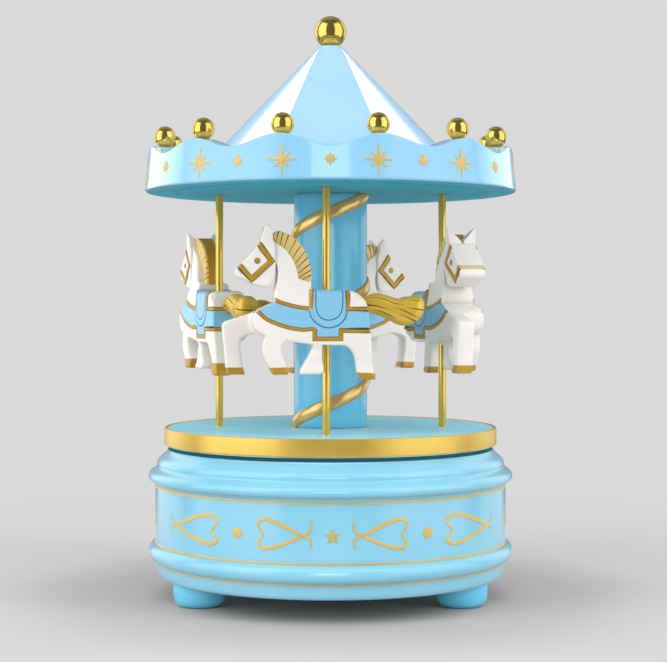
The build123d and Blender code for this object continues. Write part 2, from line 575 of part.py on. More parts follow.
TAIL = [
    (-11.3, 86.8), (-11.5, 91.0), (-13.1, 92.1), (-15.2, 92.6), (-17.8, 92.1),
    (-20.3, 90.9), (-22.4, 90.8), (-24.6, 91.7), (-26.6, 91.6), (-28.0, 90.0),
    (-28.4, 87.6), (-27.0, 85.4), (-25.2, 83.8), (-22.0, 83.3), (-19.0, 84.2),
    (-16.6, 85.6), (-13.6, 86.3)]


def make_horse():
    body = prism_xz(TORSO, -5.8, 5.8)
    # the torso stays sharp-edged if the kernel cannot chamfer its outlines
    try:
        body = chamfer(body.edges().filter_by(Axis.Y, reverse=True), 0.7)
    except Exception:
        pass
    body = body + prism_xz(NECK, -4.2, 4.2) + prism_xz(HEAD, -4.2, 4.2)
    body += prism_xz(EAR, -4.8, -1.4) + prism_xz(EAR, 1.4, 4.8)
    body += prism_xz(MANE, -2.5, 2.5)
    body += prism_xz(LEG_FORE_RAISED, -5.8, -1.1) + prism_xz(LEG_FORE, 1.1, 5.8)
    body += prism_xz(LEG_HIND, 1.1, 5.8) + prism_xz(LEG_HIND_FORWARD, 0.9, 5.3)
    body += prism_xz(TAIL, -3.0, 3.0)
    body = Pos(SADDLE_SHIFT, 0, 0) * body
    body -= cyl(POLE_R + GAP, 60, 120)
    return one(body)


horse = make_horse()
for name, (angle, yaw, lift) in POLES.items():
    x, y = polar(POLE_POS_R, angle)
    save("pole_" + name, cyl(POLE_R, POLE_LOW, POLE_TOP, x, y)
         - cyl(POLE_R - POLE_WALL, POLE_LOW - 1, POLE_TOP + 1, x, y))
    save("horse_" + name, Pos(x, y, lift) * Rot(0, 0, yaw) * horse)

# -------------------------------------------------------------------- canopy
ceiling = (cyl(FASCIA_IN_R - GAP, FASCIA_LOW, CEIL_TOP)
           + cyl(CEIL_STEP_R, COLUMN_TOP, FASCIA_LOW))
# raised ring inside the foot of the roof
roof_in_r = ROOF_R - ROOF_WALL
ceiling += (cyl(roof_in_r - 2.2, CEIL_TOP, CEIL_TOP + 1.6)
            - cyl(roof_in_r - 3.8, CEIL_TOP, CEIL_TOP + 1.6))
ceiling = drill(ceiling, POLE_PLACES, (POLE_R + GAP, COLUMN_TOP - 1, POLE_TOP))
ceiling = drill(ceiling, COLUMN_SCREWS, (1.05, COLUMN_TOP - 1, CEIL_TOP + 1))
ceiling = drill(ceiling, LIP_SCREWS, (pilot(LIP_SCREW), CEIL_TOP - 1.9, CEIL_TOP + 1))
save("canopy_ceiling", ceiling)

# (radius, z): under the flange, up the outside, down the inside
FASCIA_PROFILE = [
    (LIP_R, CEIL_TOP), (FASCIA_IN_R, CEIL_TOP), (FASCIA_IN_R, FASCIA_LOW),
    (55.6, FASCIA_LOW), (56.1, FASCIA_LOW + 0.25), (56.2, FASCIA_LOW + 0.8),
    (56.1, 124.3), (55.9, 126.6), (55.6, 128.8), (55.1, 131.0), (54.4, 133.3),
    (53.9, FASCIA_TOP), (FASCIA_IN_R, FASCIA_TOP), (FASCIA_IN_R, LIP_TOP), (LIP_R, LIP_TOP)]


def wave(radius):
    """Closed scallop curve at a radius, with a low point at -Y."""
    points = []
    count = SCALLOPS * 8
    for i in range(count):
        turn = 2 * math.pi * i / count
        z = SCALLOP_MID - SCALLOP_AMP * math.cos(SCALLOPS * turn)
        points.append((radius * math.sin(turn), -radius * math.cos(turn), z))
    return Spline(*points, periodic=True)


fascia = turned(FASCIA_PROFILE)
fascia -= extrude(Face.make_surface_from_curves(wave(40.0), wave(62.0)),
                  amount=8.0, dir=(0, 0, 1))
# a pegged ball on every crest
balls = []
for i in range(SCALLOPS):
    x, y = polar(RIM_BALL_POS_R, 15.0 + 30.0 * i)
    fascia -= Pos(x, y, RIM_BALL_Z) * Sphere(RIM_BALL_R + BALL_GAP)
    fascia -= cyl(RIM_PEG_R + GAP, 130.5, RIM_BALL_Z, x, y)
    balls.append(Pos(x, y, RIM_BALL_Z) * Sphere(RIM_BALL_R)
                 + cyl(RIM_PEG_R, 130.8, RIM_BALL_Z - 1, x, y))
fascia = drill(fascia, LIP_SCREWS, (0.78, CEIL_TOP - 1, LIP_TOP + 1))
save("canopy_fascia", fascia)
save_group("rim_balls", balls)
save_screws("canopy_screws", LIP_SCREW, LIP_SCREWS, LIP_TOP, head_up=True)

# roof cone: hollow, with a seat for the finial
roof_tip_r = ROOF_R - ROOF_SLOPE * (ROOF_TOP - CEIL_TOP)
cone = turned([(roof_in_r, CEIL_TOP), (ROOF_R, CEIL_TOP), (roof_tip_r, ROOF_TOP),
               (0, ROOF_TOP), (0, ROOF_TOP - ROOF_TIP_T), (2.4, ROOF_TOP - ROOF_TIP_T)])
cone -= Pos(0, 0, FINIAL_Z) * Sphere(FINIAL_R + BALL_GAP)
cone -= cyl(FINIAL_PEG_R + GAP, ROOF_TOP - 4.3, ROOF_TOP + 1)
save("roof_cone", cone)
save("finial_ball", Pos(0, 0, FINIAL_Z) * Sphere(FINIAL_R)
     + cyl(FINIAL_PEG_R, ROOF_TOP - 4.0, FINIAL_Z - 2))
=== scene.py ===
import json
import math

import bmesh
import bpy
import numpy as np
from mathutils import Matrix, Vector
from mathutils.geometry import delaunay_2d_cdt

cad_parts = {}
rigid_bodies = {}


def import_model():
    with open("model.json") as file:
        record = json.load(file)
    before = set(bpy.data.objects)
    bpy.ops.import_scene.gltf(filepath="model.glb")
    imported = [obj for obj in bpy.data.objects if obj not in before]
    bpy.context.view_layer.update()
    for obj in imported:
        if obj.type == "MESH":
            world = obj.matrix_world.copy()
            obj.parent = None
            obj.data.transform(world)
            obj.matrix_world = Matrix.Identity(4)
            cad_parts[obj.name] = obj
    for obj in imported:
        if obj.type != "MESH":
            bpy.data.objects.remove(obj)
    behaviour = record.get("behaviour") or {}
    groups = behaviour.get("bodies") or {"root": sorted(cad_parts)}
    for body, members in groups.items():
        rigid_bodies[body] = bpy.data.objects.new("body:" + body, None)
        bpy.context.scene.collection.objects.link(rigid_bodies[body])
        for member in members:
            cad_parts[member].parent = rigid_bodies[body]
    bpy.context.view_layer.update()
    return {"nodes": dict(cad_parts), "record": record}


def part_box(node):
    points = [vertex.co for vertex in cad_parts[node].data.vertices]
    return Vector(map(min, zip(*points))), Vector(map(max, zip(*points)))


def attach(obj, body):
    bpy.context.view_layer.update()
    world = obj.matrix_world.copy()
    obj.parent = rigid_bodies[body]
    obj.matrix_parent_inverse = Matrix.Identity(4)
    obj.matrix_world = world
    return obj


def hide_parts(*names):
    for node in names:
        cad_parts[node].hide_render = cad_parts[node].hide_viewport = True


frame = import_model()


S = 0.001                      # the shapes below are written in millimetres
NODES = frame["nodes"]
REPLACED = set()


def mm_box(node):
    lo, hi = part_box(node)
    return [v / S for v in lo], [v / S for v in hi]


# ------------------------------------------------------------------ materials
def lin(r, g, b):
    def c(v):
        v /= 255.0
        return v / 12.92 if v <= 0.04045 else ((v + 0.055) / 1.055) ** 2.4
    return (c(r), c(g), c(b), 1.0)


class Nodes:
    """A small wrapper that makes node trees short to write."""

    def __init__(self, name):
        self.mat = bpy.data.materials.new(name)
        self.mat.use_nodes = True
        self.nt = self.mat.node_tree
        self.nt.nodes.clear()
        self.out = self.add("ShaderNodeOutputMaterial")
        self.bsdf = self.add("ShaderNodeBsdfPrincipled")
        self.link(self.bsdf, "BSDF", self.out, "Surface")
        self.co = self.add("ShaderNodeTexCoord")

    def add(self, kind, **props):
        n = self.nt.nodes.new(kind)
        for k, v in props.items():
            setattr(n, k, v)
        return n

    def link(self, a, out, b, inp):
        self.nt.links.new(a.outputs[out], b.inputs[inp])

    def noise(self, scale, detail=3.0, rough=0.5, stretch=(1, 1, 1)):
        m = self.add("ShaderNodeMapping")
        m.inputs["Scale"].default_value = stretch
        self.link(self.co, "Object", m, "Vector")
        n = self.add("ShaderNodeTexNoise")
        n.inputs["Scale"].default_value = scale
        n.inputs["Detail"].default_value = detail
        n.inputs["Roughness"].default_value = rough
        self.link(m, "Vector", n, "Vector")
        return n

    def remap(self, src, out, lo, hi, a, b):
        r = self.add("ShaderNodeMapRange")
        r.inputs["From Min"].default_value = lo
        r.inputs["From Max"].default_value = hi
        r.inputs["To Min"].default_value = a
        r.inputs["To Max"].default_value = b
        self.link(src, out, r, "Value")
        return r

    def math(self, op, a, b=None):
        n = self.add("ShaderNodeMath", operation=op)
        for i, v in enumerate((a, b)):
            if v is None:
                continue
            if isinstance(v, tuple):
                self.nt.links.new(v[0].outputs[v[1]], n.inputs[i])
            else:
                n.inputs[i].default_value = v
        return n

    def mix(self, fac, c1, c2):
        n = self.add("ShaderNodeMix", data_type="RGBA")
        if isinstance(fac, tuple):
            self.nt.links.new(fac[0].outputs[fac[1]], n.inputs["Factor"])
        else:
            n.inputs["Factor"].default_value = fac
        for key, v in (("A", c1), ("B", c2)):
            sock = [s for s in n.inputs if s.name == key and s.type == "RGBA"][0]
            if isinstance(v, tuple) and len(v) == 2:
                self.nt.links.new(v[0].outputs[v[1]], sock)
            else:
                sock.default_value = v
        return n

    def mix_out(self, n):
        return [i for i, s in enumerate(n.outputs) if s.type == "RGBA"][0]

    def set(self, **kw):
        for k, v in kw.items():
            self.bsdf.inputs[k.replace("_", " ")].default_value = v

    def bump(self, src, out, distance, strength=1.0, normal=None):
        b = self.add("ShaderNodeBump")
        b.inputs["Distance"].default_value = distance
        b.inputs["Strength"].default_value = strength
        self.link(src, out, b, "Height")
        if normal is not None:
            self.link(normal, "Normal", b, "Normal")
        return b


def painted_reflection_and_bounce_tint(m, last, grey=(0.46, 0.44, 0.40, 1.0), amount=0.72):
    """Painted reflection and bounce light: glossy rays, and diffuse rays a little less, see the colour mixed toward a
    warm grey, the softer, warmer colour a mirror-like neighbour picks up, as polished gold shows it.
    """
    lp = m.add("ShaderNodeLightPath")
    f1 = m.math("MULTIPLY", (lp, "Is Glossy Ray"), amount)
    f2 = m.math("MULTIPLY", (lp, "Is Diffuse Ray"), amount * 0.8)
    f = m.math("MAXIMUM", (f1, "Value"), (f2, "Value"))
    g = m.mix((f, "Value"), last, grey)
    return g, m.mix_out(g)


def moulded(name, light, dark, rough=(0.16, 0.26), coat=0.6, peel=0.000012, crease_shade=None, occl=0.35, spec=0.5, tint=True, lift=0.0):
    """Glossy lacquered plastic: slow colour drift, orange peel, smudges, painted shade darkening its creases, and an
    optional faint glow of its own colour (painted light).
    """
    m = Nodes(name)
    drift = m.noise(38.0, 4.0, 0.55)
    f = m.remap(drift, "Fac", 0.3, 0.7, 0.0, 1.0)
    col = m.mix((f, "Result"), light, dark)
    last = (col, m.mix_out(col))
    # painted shade: where the occlusion test finds surfaces close by, in creases and recesses, the colour darkens
    # toward the crease shade colour, by default a deep copy of dark
    ao = m.add("ShaderNodeAmbientOcclusion", samples=4)
    ao.inputs["Distance"].default_value = 0.0022
    inv = m.remap(ao, "AO", 0.35, 0.95, occl, 0.0)
    col2 = m.mix((inv, "Result"), last, crease_shade or tuple(c * 0.35 for c in dark[:3]) + (1.0,))
    src = (col2, m.mix_out(col2))
    # painted reflection and bounce light: reflections and bounced light see a warm grey
    if tint:
        src = painted_reflection_and_bounce_tint(m, src)
    m.link(src[0], src[1], m.bsdf, "Base Color")
    # painted light: lift makes the surface glow faintly in its own colour, brightening its shade
    if lift:
        m.link(src[0], src[1], m.bsdf, "Emission Color")
        m.set(Emission_Strength=lift)
    smudge = m.noise(150.0, 5.0, 0.62)
    r = m.remap(smudge, "Fac", 0.32, 0.72, rough[0], rough[1])
    m.link(r, "Result", m.bsdf, "Roughness")
    fine = m.noise(1500.0, 2.0, 0.5)
    scratch = m.noise(420.0, 3.0, 0.7, (1.0, 1.0, 14.0))
    b1 = m.bump(fine, "Fac", peel)
    b2 = m.bump(scratch, "Fac", peel * 0.5, 0.6, b1)
    m.link(b2, "Normal", m.bsdf, "Normal")
    m.set(Coat_Weight=coat, Coat_Roughness=0.06, IOR=1.5, Specular_IOR_Level=spec)
    return m


def gold(name, base, deep, rough=(0.08, 0.16), brushed=None, metallic=1.0, coat=0.0, bump=0.000006):
    """Plated or painted gold with tone drift, fine scratches and worn roughness."""
    m = Nodes(name)
    drift = m.noise(70.0, 4.0, 0.6)
    f = m.remap(drift, "Fac", 0.35, 0.68, 0.0, 1.0)
    col = m.mix((f, "Result"), base, deep)
    m.link(col, m.mix_out(col), m.bsdf, "Base Color")
    wear = m.noise(320.0, 5.0, 0.65)
    r = m.remap(wear, "Fac", 0.3, 0.75, rough[0], rough[1])
    m.link(r, "Result", m.bsdf, "Roughness")
    grain = m.noise(2200.0 if brushed is None else 900.0, 3.0, 0.6, brushed or (1, 1, 1))
    b = m.bump(grain, "Fac", bump)
    m.link(b, "Normal", m.bsdf, "Normal")
    m.set(Metallic=metallic, Coat_Weight=coat)
    return m


SKY = lin(136, 201, 225)
SKY_D = lin(126, 194, 220)
M_BODY = moulded("sky_blue_lacquer", SKY, SKY_D).mat


def platform_material():
    """The deck: a lacquer that mirrors the column and poles softly at every angle."""
    # painted light: the deck's blue is paler than the body's and glows faintly, standing in for the light on its top
    m = moulded("sky_blue_platform", lin(164, 230, 250), lin(156, 224, 246), rough=(0.3, 0.36), coat=0.0, peel=0.000004, spec=0.0, lift=0.1)
    g = m.add("ShaderNodeBsdfGlossy")
    g.inputs["Color"].default_value = lin(196, 234, 250)
    wear = m.noise(210.0, 4.0, 0.6)
    r = m.remap(wear, "Fac", 0.3, 0.7, 0.05, 0.09)
    m.link(r, "Result", g, "Roughness")
    mx = m.add("ShaderNodeMixShader")
    mx.inputs["Fac"].default_value = 0.27
    m.link(m.bsdf, "BSDF", mx, 1)
    m.link(g, "BSDF", mx, 2)
    m.link(mx, "Shader", m.out, "Surface")
    return m.mat


M_PLAT = platform_material()


def ceiling_material():
    """The ceiling's underside mirrors the top of the column faintly."""
    # painted shade: the ceiling's blue is a darker copy of the body's, as the underside sits in shade
    m = moulded("ceiling_blue", lin(58, 184, 210), lin(50, 176, 202), rough=(0.4, 0.55), coat=0.0, spec=0.1)
    g = m.add("ShaderNodeBsdfGlossy")
    g.inputs["Color"].default_value = lin(120, 216, 240)
    wear = m.noise(190.0, 4.0, 0.6)
    r = m.remap(wear, "Fac", 0.3, 0.7, 0.05, 0.1)
    m.link(r, "Result", g, "Roughness")
    mx = m.add("ShaderNodeMixShader")
    mx.inputs["Fac"].default_value = 0.14
    m.link(m.bsdf, "BSDF", mx, 1)
    m.link(g, "BSDF", mx, 2)
    m.link(mx, "Shader", m.out, "Surface")
    return m.mat
M_COL = moulded("sky_blue_column", lin(108, 198, 232), lin(98, 190, 227), rough=(0.14, 0.2), coat=0.4, peel=0.000008, spec=0.35).mat
M_FOOT = moulded("sky_blue_foot", lin(112, 206, 241), lin(102, 198, 235), rough=(0.25, 0.34), coat=0.25).mat
# painted shade: the horses' creases darken to a warm grey, and a faint glow of their own white (painted light)
# brightens their shaded sides
M_HORSE = moulded("horse_ivory_white", lin(247, 244, 238), lin(240, 237, 230), rough=(0.27, 0.4), coat=0.25,
                  peel=0.00002, crease_shade=lin(190, 184, 170), occl=0.5, lift=0.05).mat
M_BAND = moulded("horse_band_blue", lin(146, 211, 242), lin(136, 204, 238), rough=(0.25, 0.36), coat=0.25, peel=0.00002).mat
M_LINE = moulded("saddle_line_blue", lin(28, 116, 160), lin(22, 104, 148), rough=(0.35, 0.5), coat=0.1).mat
M_MANE = gold("mane_painted_gold", lin(250, 220, 146), lin(244, 210, 128), rough=(0.33, 0.5), metallic=0.12, coat=0.15, bump=0.00001).mat
# painted shade: the mane's edge faces take a darker copy of its gold
M_MANE_EDGE_SHADE = gold("mane_edge_shaded_gold", lin(204, 156, 44), lin(190, 141, 34), rough=(0.3, 0.45), metallic=0.25, coat=0.15, bump=0.00001).mat
M_TAIL = gold("tail_painted_gold", lin(242, 204, 84), lin(230, 188, 64), rough=(0.26, 0.38), metallic=0.3, coat=0.2, bump=0.00001).mat
M_MLINE = gold("mane_line_brown", lin(118, 84, 22), lin(98, 70, 16), rough=(0.45, 0.6), metallic=0.1).mat
M_STRAP = gold("strap_painted_gold", lin(202, 158, 52), lin(188, 142, 40), rough=(0.3, 0.44), metallic=0.2, coat=0.15, bump=0.00001).mat
M_NOSE = gold("noseband_pale_gold", lin(232, 216, 172), lin(224, 205, 156), rough=(0.35, 0.5), metallic=0.1, coat=0.1, bump=0.00001).mat
M_BALL = gold("plated_gold_balls", lin(246, 219, 118), lin(240, 209, 100), rough=(0.05, 0.09), bump=0.000002).mat
M_POLE = gold("polished_gold_pole", lin(248, 217, 116), lin(240, 205, 96), rough=(0.12, 0.2), brushed=(1.0, 1.0, 0.04), metallic=0.72, bump=0.000003).mat
M_RIM = gold("brushed_gold_rim", lin(238, 203, 100), lin(230, 192, 84), rough=(0.28, 0.33), brushed=(0.1, 0.1, 6.0), metallic=0.5, bump=0.0000008).mat
M_SPIRAL = gold("satin_gold_spiral", lin(242, 210, 138), lin(230, 192, 110), rough=(0.17, 0.27), metallic=0.68, bump=0.000003).mat
M_PRINT = gold("gold_foil_print", lin(228, 202, 122), lin(216, 186, 100), rough=(0.36, 0.5), metallic=0.12, coat=0.1, bump=0.000008).mat
M_STEEL = gold("zinc_plated_steel", lin(190, 190, 192), lin(168, 168, 172), rough=(0.28, 0.42)).mat
M_ZINC = gold("die_cast_zinc", lin(160, 160, 158), lin(140, 140, 140), rough=(0.42, 0.6), bump=0.00003).mat
M_SPRING = gold("blued_spring_steel", lin(92, 98, 120), lin(70, 76, 100), rough=(0.25, 0.4), brushed=(1, 1, 0.05)).mat
M_COMB = gold("ground_comb_steel", lin(205, 205, 203), lin(188, 188, 188), rough=(0.2, 0.34), brushed=(8.0, 0.2, 1.0)).mat
M_BRASS = gold("machined_brass", lin(214, 182, 108), lin(196, 160, 84), rough=(0.22, 0.36), brushed=(1, 6, 6)).mat
M_NYLON = moulded("natural_nylon", lin(226, 222, 208), lin(214, 209, 194), rough=(0.45, 0.6), coat=0.0, peel=0.00003).mat
M_FAN = moulded("dark_fan_plastic", lin(42, 42, 46), lin(32, 32, 36), rough=(0.35, 0.5), coat=0.1, peel=0.00003).mat
M_PLATE = moulded("matt_blue_plate", lin(112, 184, 218), lin(102, 174, 210), rough=(0.45, 0.62), coat=0.05, peel=0.00006).mat


def roof_material():
    """Blue and white roof panels: the seam angles come from the cone's own axis. The white panels are partly paint and
    partly painted reflection: their soft outer fade copies a softbox's falloff on the glossy cone.
    """
    m = Nodes("roof_panels_lacquer")
    sep = m.add("ShaderNodeSeparateXYZ")
    m.link(m.co, "Object", sep, "Vector")
    ax = m.math("ABSOLUTE", (sep, "X"))
    ay = m.math("ABSOLUTE", (sep, "Y"))
    ang = m.math("ARCTAN2", (ax, "Value"), (ay, "Value"))      # 0 at the front, 90 at the side
    deg = m.math("MULTIPLY", (ang, "Value"), 57.29578)
    # the blue front panel is a hair wider near the tip, so its edges run straight
    rad = m.math("SQRT", (m.math("ADD", (m.math("MULTIPLY", (sep, "X"), (sep, "X")), "Value"),
                                 (m.math("MULTIPLY", (sep, "Y"), (sep, "Y")), "Value")), "Value"))
    lift = m.math("DIVIDE", 0.1406, (m.math("ADD", (rad, "Value"), 0.0006), "Value"))
    edge = m.math("ADD", 21.8, (lift, "Value"))
    e1 = m.math("ADD", (edge, "Value"), 0.35)
    r1 = m.add("ShaderNodeMapRange", interpolation_type="SMOOTHSTEP")
    m.link(deg, "Value", r1, "Value")
    m.link(edge, "Value", r1, "From Min")
    m.link(e1, "Value", r1, "From Max")
    # painted reflection: from 46 to 57 degrees the white fades back into blue, the soft falloff of a softbox seen in
    # the glossy cone
    r2 = m.add("ShaderNodeMapRange", interpolation_type="SMOOTHSTEP")
    m.link(deg, "Value", r2, "Value")
    r2.inputs["From Min"].default_value = 46.0
    r2.inputs["From Max"].default_value = 57.0
    r2.inputs["To Min"].default_value = 1.0
    r2.inputs["To Max"].default_value = 0.0
    mask = m.math("MULTIPLY", (r1, "Result"), (r2, "Result"))
    drift = m.noise(42.0, 4.0, 0.55)
    f = m.remap(drift, "Fac", 0.3, 0.7, 0.0, 1.0)
    blue = m.mix((f, "Result"), lin(158, 201, 232), lin(150, 196, 229))
    white = m.mix((f, "Result"), lin(247, 249, 253), lin(240, 244, 250))
    col = m.mix((mask, "Value"), (blue, m.mix_out(blue)), (white, m.mix_out(white)))
    src = painted_reflection_and_bounce_tint(m, (col, m.mix_out(col)))
    m.link(src[0], src[1], m.bsdf, "Base Color")
    smudge = m.noise(60.0, 2.0, 0.5)
    r = m.remap(smudge, "Fac", 0.1, 0.9, 0.27, 0.3)
    m.link(r, "Result", m.bsdf, "Roughness")
    fine = m.noise(1500.0, 2.0, 0.5)
    b = m.bump(fine, "Fac", 0.000002)
    m.link(b, "Normal", m.bsdf, "Normal")
    m.set(Coat_Weight=0.35, Coat_Roughness=0.16)
    return m.mat


M_ROOF = roof_material()
M_CANOPY = moulded("canopy_blue_lacquer", lin(138, 196, 230), lin(129, 190, 226), rough=(0.18, 0.28), coat=0.7).mat
M_CEIL = ceiling_material()
# painted shade: the fascia's underside ring takes a darker copy of the blue
M_UNDER = moulded("fascia_underside_blue", lin(66, 184, 210), lin(58, 176, 202), rough=(0.4, 0.55), coat=0.0, spec=0.1).mat


# ------------------------------------------------------------------ mesh tools
def make(name, verts, faces, mats, body, replaces=(), face_mats=None, sharp=38.0, recalc=True):
    me = bpy.data.meshes.new(name)
    me.from_pydata([(float(v[0]) * S, float(v[1]) * S, float(v[2]) * S) for v in verts], [],
                   [tuple(int(i) for i in f) for f in faces])
    if not isinstance(mats, (list, tuple)):
        mats = [mats]
    for m in mats:
        me.materials.append(m)
    if face_mats is not None:
        me.polygons.foreach_set("material_index", [int(i) for i in face_mats])
    bm = bmesh.new()
    bm.from_mesh(me)
    bmesh.ops.remove_doubles(bm, verts=bm.verts, dist=1e-7)
    bmesh.ops.dissolve_degenerate(bm, edges=bm.edges, dist=1e-8)
    if recalc:
        bmesh.ops.recalc_face_normals(bm, faces=bm.faces)
    bm.to_mesh(me)
    bm.free()
    me.polygons.foreach_set("use_smooth", [True] * len(me.polygons))
    me.set_sharp_from_angle(angle=math.radians(sharp))
    me.update()
    ob = bpy.data.objects.new(name, me)
    bpy.context.scene.collection.objects.link(ob)
    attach(ob, body)
    if replaces:
        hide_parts(*replaces)
        REPLACED.update(replaces)
    return ob


def smooth_path(pts, step=0.5, closed=False):
    """Catmull-Rom through points; a point written (x, y, 'c') is a sharp corner."""
    p = [np.array(q[:2], float) for q in pts]
    corner = [len(q) > 2 and q[2] == "c" for q in pts]
    n = len(p)
    out = []
    last = n if closed else n - 1
    for i in range(last):
        a, b = p[i], p[(i + 1) % n]
        ends = not closed
        pa = p[i - 1] if (i > 0 or closed) else None
        pb = p[(i + 2) % n] if (i + 2 < n or closed) else None
        if corner[i] or pa is None:
            pa = None
        if corner[(i + 1) % n] or pb is None:
            pb = None
        if pa is None and pb is None:
            m0 = m1 = b - a
        else:
            la = np.linalg.norm(b - a) + 1e-9

            def tangent(q0, q1, q2):
                d1, d2 = np.linalg.norm(q1 - q0) + 1e-9, np.linalg.norm(q2 - q1) + 1e-9
                t = (q1 - q0) / d1 * d2 + (q2 - q1) / d2 * d1
                return t / (d1 + d2)
            t1 = tangent(a, b, pb) * la if pb is not None else None
            t0 = tangent(pa, a, b) * la if pa is not None else None
            m0 = t0 if t0 is not None else 1.5 * (b - a) - 0.5 * t1
            m1 = t1 if t1 is not None else 1.5 * (b - a) - 0.5 * t0
        k = max(1, int(math.ceil(np.linalg.norm(b - a) / step)))
        if pa is None and pb is None:
            k = max(1, int(math.ceil(np.linalg.norm(b - a) / (step * 1.5))))
        for j in range(k):
            t = j / k
            out.append((2 * t ** 3 - 3 * t ** 2 + 1) * a + (t ** 3 - 2 * t ** 2 + t) * m0
                       + (-2 * t ** 3 + 3 * t ** 2) * b + (t ** 3 - t ** 2) * m1)
    if not closed:
        out.append(p[-1])
    return np.array(out)


def fillet(pts, segs=5):
    """Polygon (r, z, radius) -> points with rounded corners."""
    out = []
    n = len(pts)
    for i in range(n):
        p = np.array(pts[i][:2], float)
        rad = pts[i][2] if len(pts[i]) > 2 else 0.0
        if rad <= 0:
            out.append(tuple(p))
            continue
        a, b = np.array(pts[i - 1][:2], float), np.array(pts[(i + 1) % n][:2], float)
        u, v = (a - p) / np.linalg.norm(a - p), (b - p) / np.linalg.norm(b - p)
        cosang = float(np.clip(u @ v, -0.9999, 0.9999))
        half = math.acos(cosang) / 2
        cut = min(rad / math.tan(half), 0.49 * np.linalg.norm(a - p), 0.49 * np.linalg.norm(b - p))
        r = cut * math.tan(half)
        c = p + (u + v) / np.linalg.norm(u + v) * (r / math.sin(half))
        s, e = p + u * cut, p + v * cut
        a0 = math.atan2(*(s - c)[::-1])
        a1 = math.atan2(*(e - c)[::-1])
        d = (a1 - a0 + math.pi) % (2 * math.pi) - math.pi
        for j in range(segs + 1):
            t = a0 + d * j / segs
            out.append((c[0] + r * math.cos(t), c[1] + r * math.sin(t)))
    return out


def lathe_arrays(profile, segs=192, centre=(0.0, 0.0), closed=True):
    verts, faces = [], []
    rings = []
    for r, z in profile:
        if r < 1e-6:
            rings.append([len(verts)] * segs)
            verts.append((centre[0], centre[1], z))
        else:
            rings.append(list(range(len(verts), len(verts) + segs)))
            for k in range(segs):
                a = 2 * math.pi * k / segs
                verts.append((centre[0] + r * math.sin(a), centre[1] - r * math.cos(a), z))
    count = len(profile) if closed else len(profile) - 1
    for i in range(count):
        a, b = rings[i], rings[(i + 1) % len(profile)]
        for k in range(segs):
            q = [a[k], a[(k + 1) % segs], b[(k + 1) % segs], b[k]]
            f = []
            for v in q:
                if v not in f:
                    f.append(v)
            if len(f) > 2:
                faces.append(f)
    return verts, faces


def lathe(name, profile, mat, body, replaces=(), segs=192, centre=(0.0, 0.0), closed=True, sharp=38.0):
    v, f = lathe_arrays(profile, segs, centre, closed)
    return make(name, v, f, mat, body, replaces, sharp=sharp)


def join_arrays(items):
    verts, faces = [], []
    for v, f in items:
        o = len(verts)
        verts.extend(v)
        faces.extend([[i + o for i in g] for g in f])
    return verts, faces


def polar(r, deg):
    return r * math.cos(math.radians(deg)), r * math.sin(math.radians(deg))


# ------------------------------------------------------------------- the base
B0, B1 = mm_box("base_drum")
DECK = B1[2]
low_mould = smooth_path([(52.85, 10.75, "c"), (53.1, 11.15), (53.9, 11.45), (54.7, 12.2), (55.07, 13.2), (55.1, 14.1),
                         (54.9, 15.0), (54.35, 15.75), (53.6, 16.3), (53.1, 16.45, "c")], 0.16)
up_mould = smooth_path([(53.1, 33.75, "c"), (53.35, 34.25), (53.9, 34.75), (54.65, 35.2), (55.05, 35.95), (55.08, 36.7),
                        (54.8, 37.35), (54.2, 37.95), (53.4, 38.45), (52.75, 38.95, "c"), (52.55, 39.4),
                        (52.6, 40.0), (52.4, 40.8), (51.85, 41.6), (51.0, 42.35), (50.2, 43.0), (49.75, 43.5),
                        (49.3, DECK, "c")], 0.16)
plinth = smooth_path([(50.95, B0[2], "c"), (51.75, B0[2] + 0.02), (52.35, B0[2] + 0.35), (52.7, B0[2] + 1.0),
                      (52.84, B0[2] + 1.9), (52.85, 10.2, "c")], 0.2)
outer = [tuple(p) for p in plinth] + [(52.85, 10.6)] + [tuple(p) for p in low_mould] + \
        [(53.1, 16.9), (53.1, 20.0), (53.1, 25.0), (53.1, 30.0), (53.1, 33.3)] + [tuple(p) for p in up_mould] + \
        [(49.0, DECK), (30.0, DECK), (4.75, DECK), (4.65, DECK - 0.1), (4.65, 40.2), (46.0, 40.2), (46.0, 9.75),
         (50.85, 9.7), (50.9, B0[2] + 0.1)]
# painted shade: the deck under the turntable takes a darker blue that glows faintly (painted light), so the gap reads
# teal
M_GAP = moulded("shadow_gap_blue", lin(60, 150, 172), lin(52, 140, 162), rough=(0.4, 0.5), coat=0.0, spec=0.1, lift=0.16).mat
base_ob = lathe("base_drum_turned", outer, M_BODY, "base", ("base_drum",), segs=256, sharp=30)
base_ob.data.materials.append(M_GAP)
for p in base_ob.data.polygons:
    if p.center.z > (DECK - 0.05) * S and math.hypot(p.center.x, p.center.y) < 49.2 * S:
        p.material_index = 1


def ring_line(name, r, z, w, h, mat=M_PRINT):
    """A fine raised gilt line round the base."""
    prof = [(r - 0.12, z - w / 2), (r + h * 0.7, z - w / 2 + 0.04), (r + h, z - w * 0.2), (r + h, z + w * 0.2),
            (r + h * 0.7, z + w / 2 - 0.04), (r - 0.12, z + w / 2)]
    return lathe_arrays(prof, 256)


lines = [ring_line("a", 53.1, 33.42, 0.62, 0.1), ring_line("b", 53.12, 16.68, 0.62, 0.12),
         ring_line("c", 52.87, 10.8, 0.5, 0.1)]
v, f = join_arrays(lines)
make("base_gilt_lines", v, f, M_PRINT, "base", sharp=30)

# open-heart scrolls, stars and dots of the band, wrapped on the cylinder
BAND_R, BAND_Z = 53.1, 24.35


def wrap(s, t, h, phase=0.0, r=BAND_R, zc=BAND_Z):
    a = s / r + phase
    return ((r + h) * math.sin(a), -(r + h) * math.cos(a), zc + t)


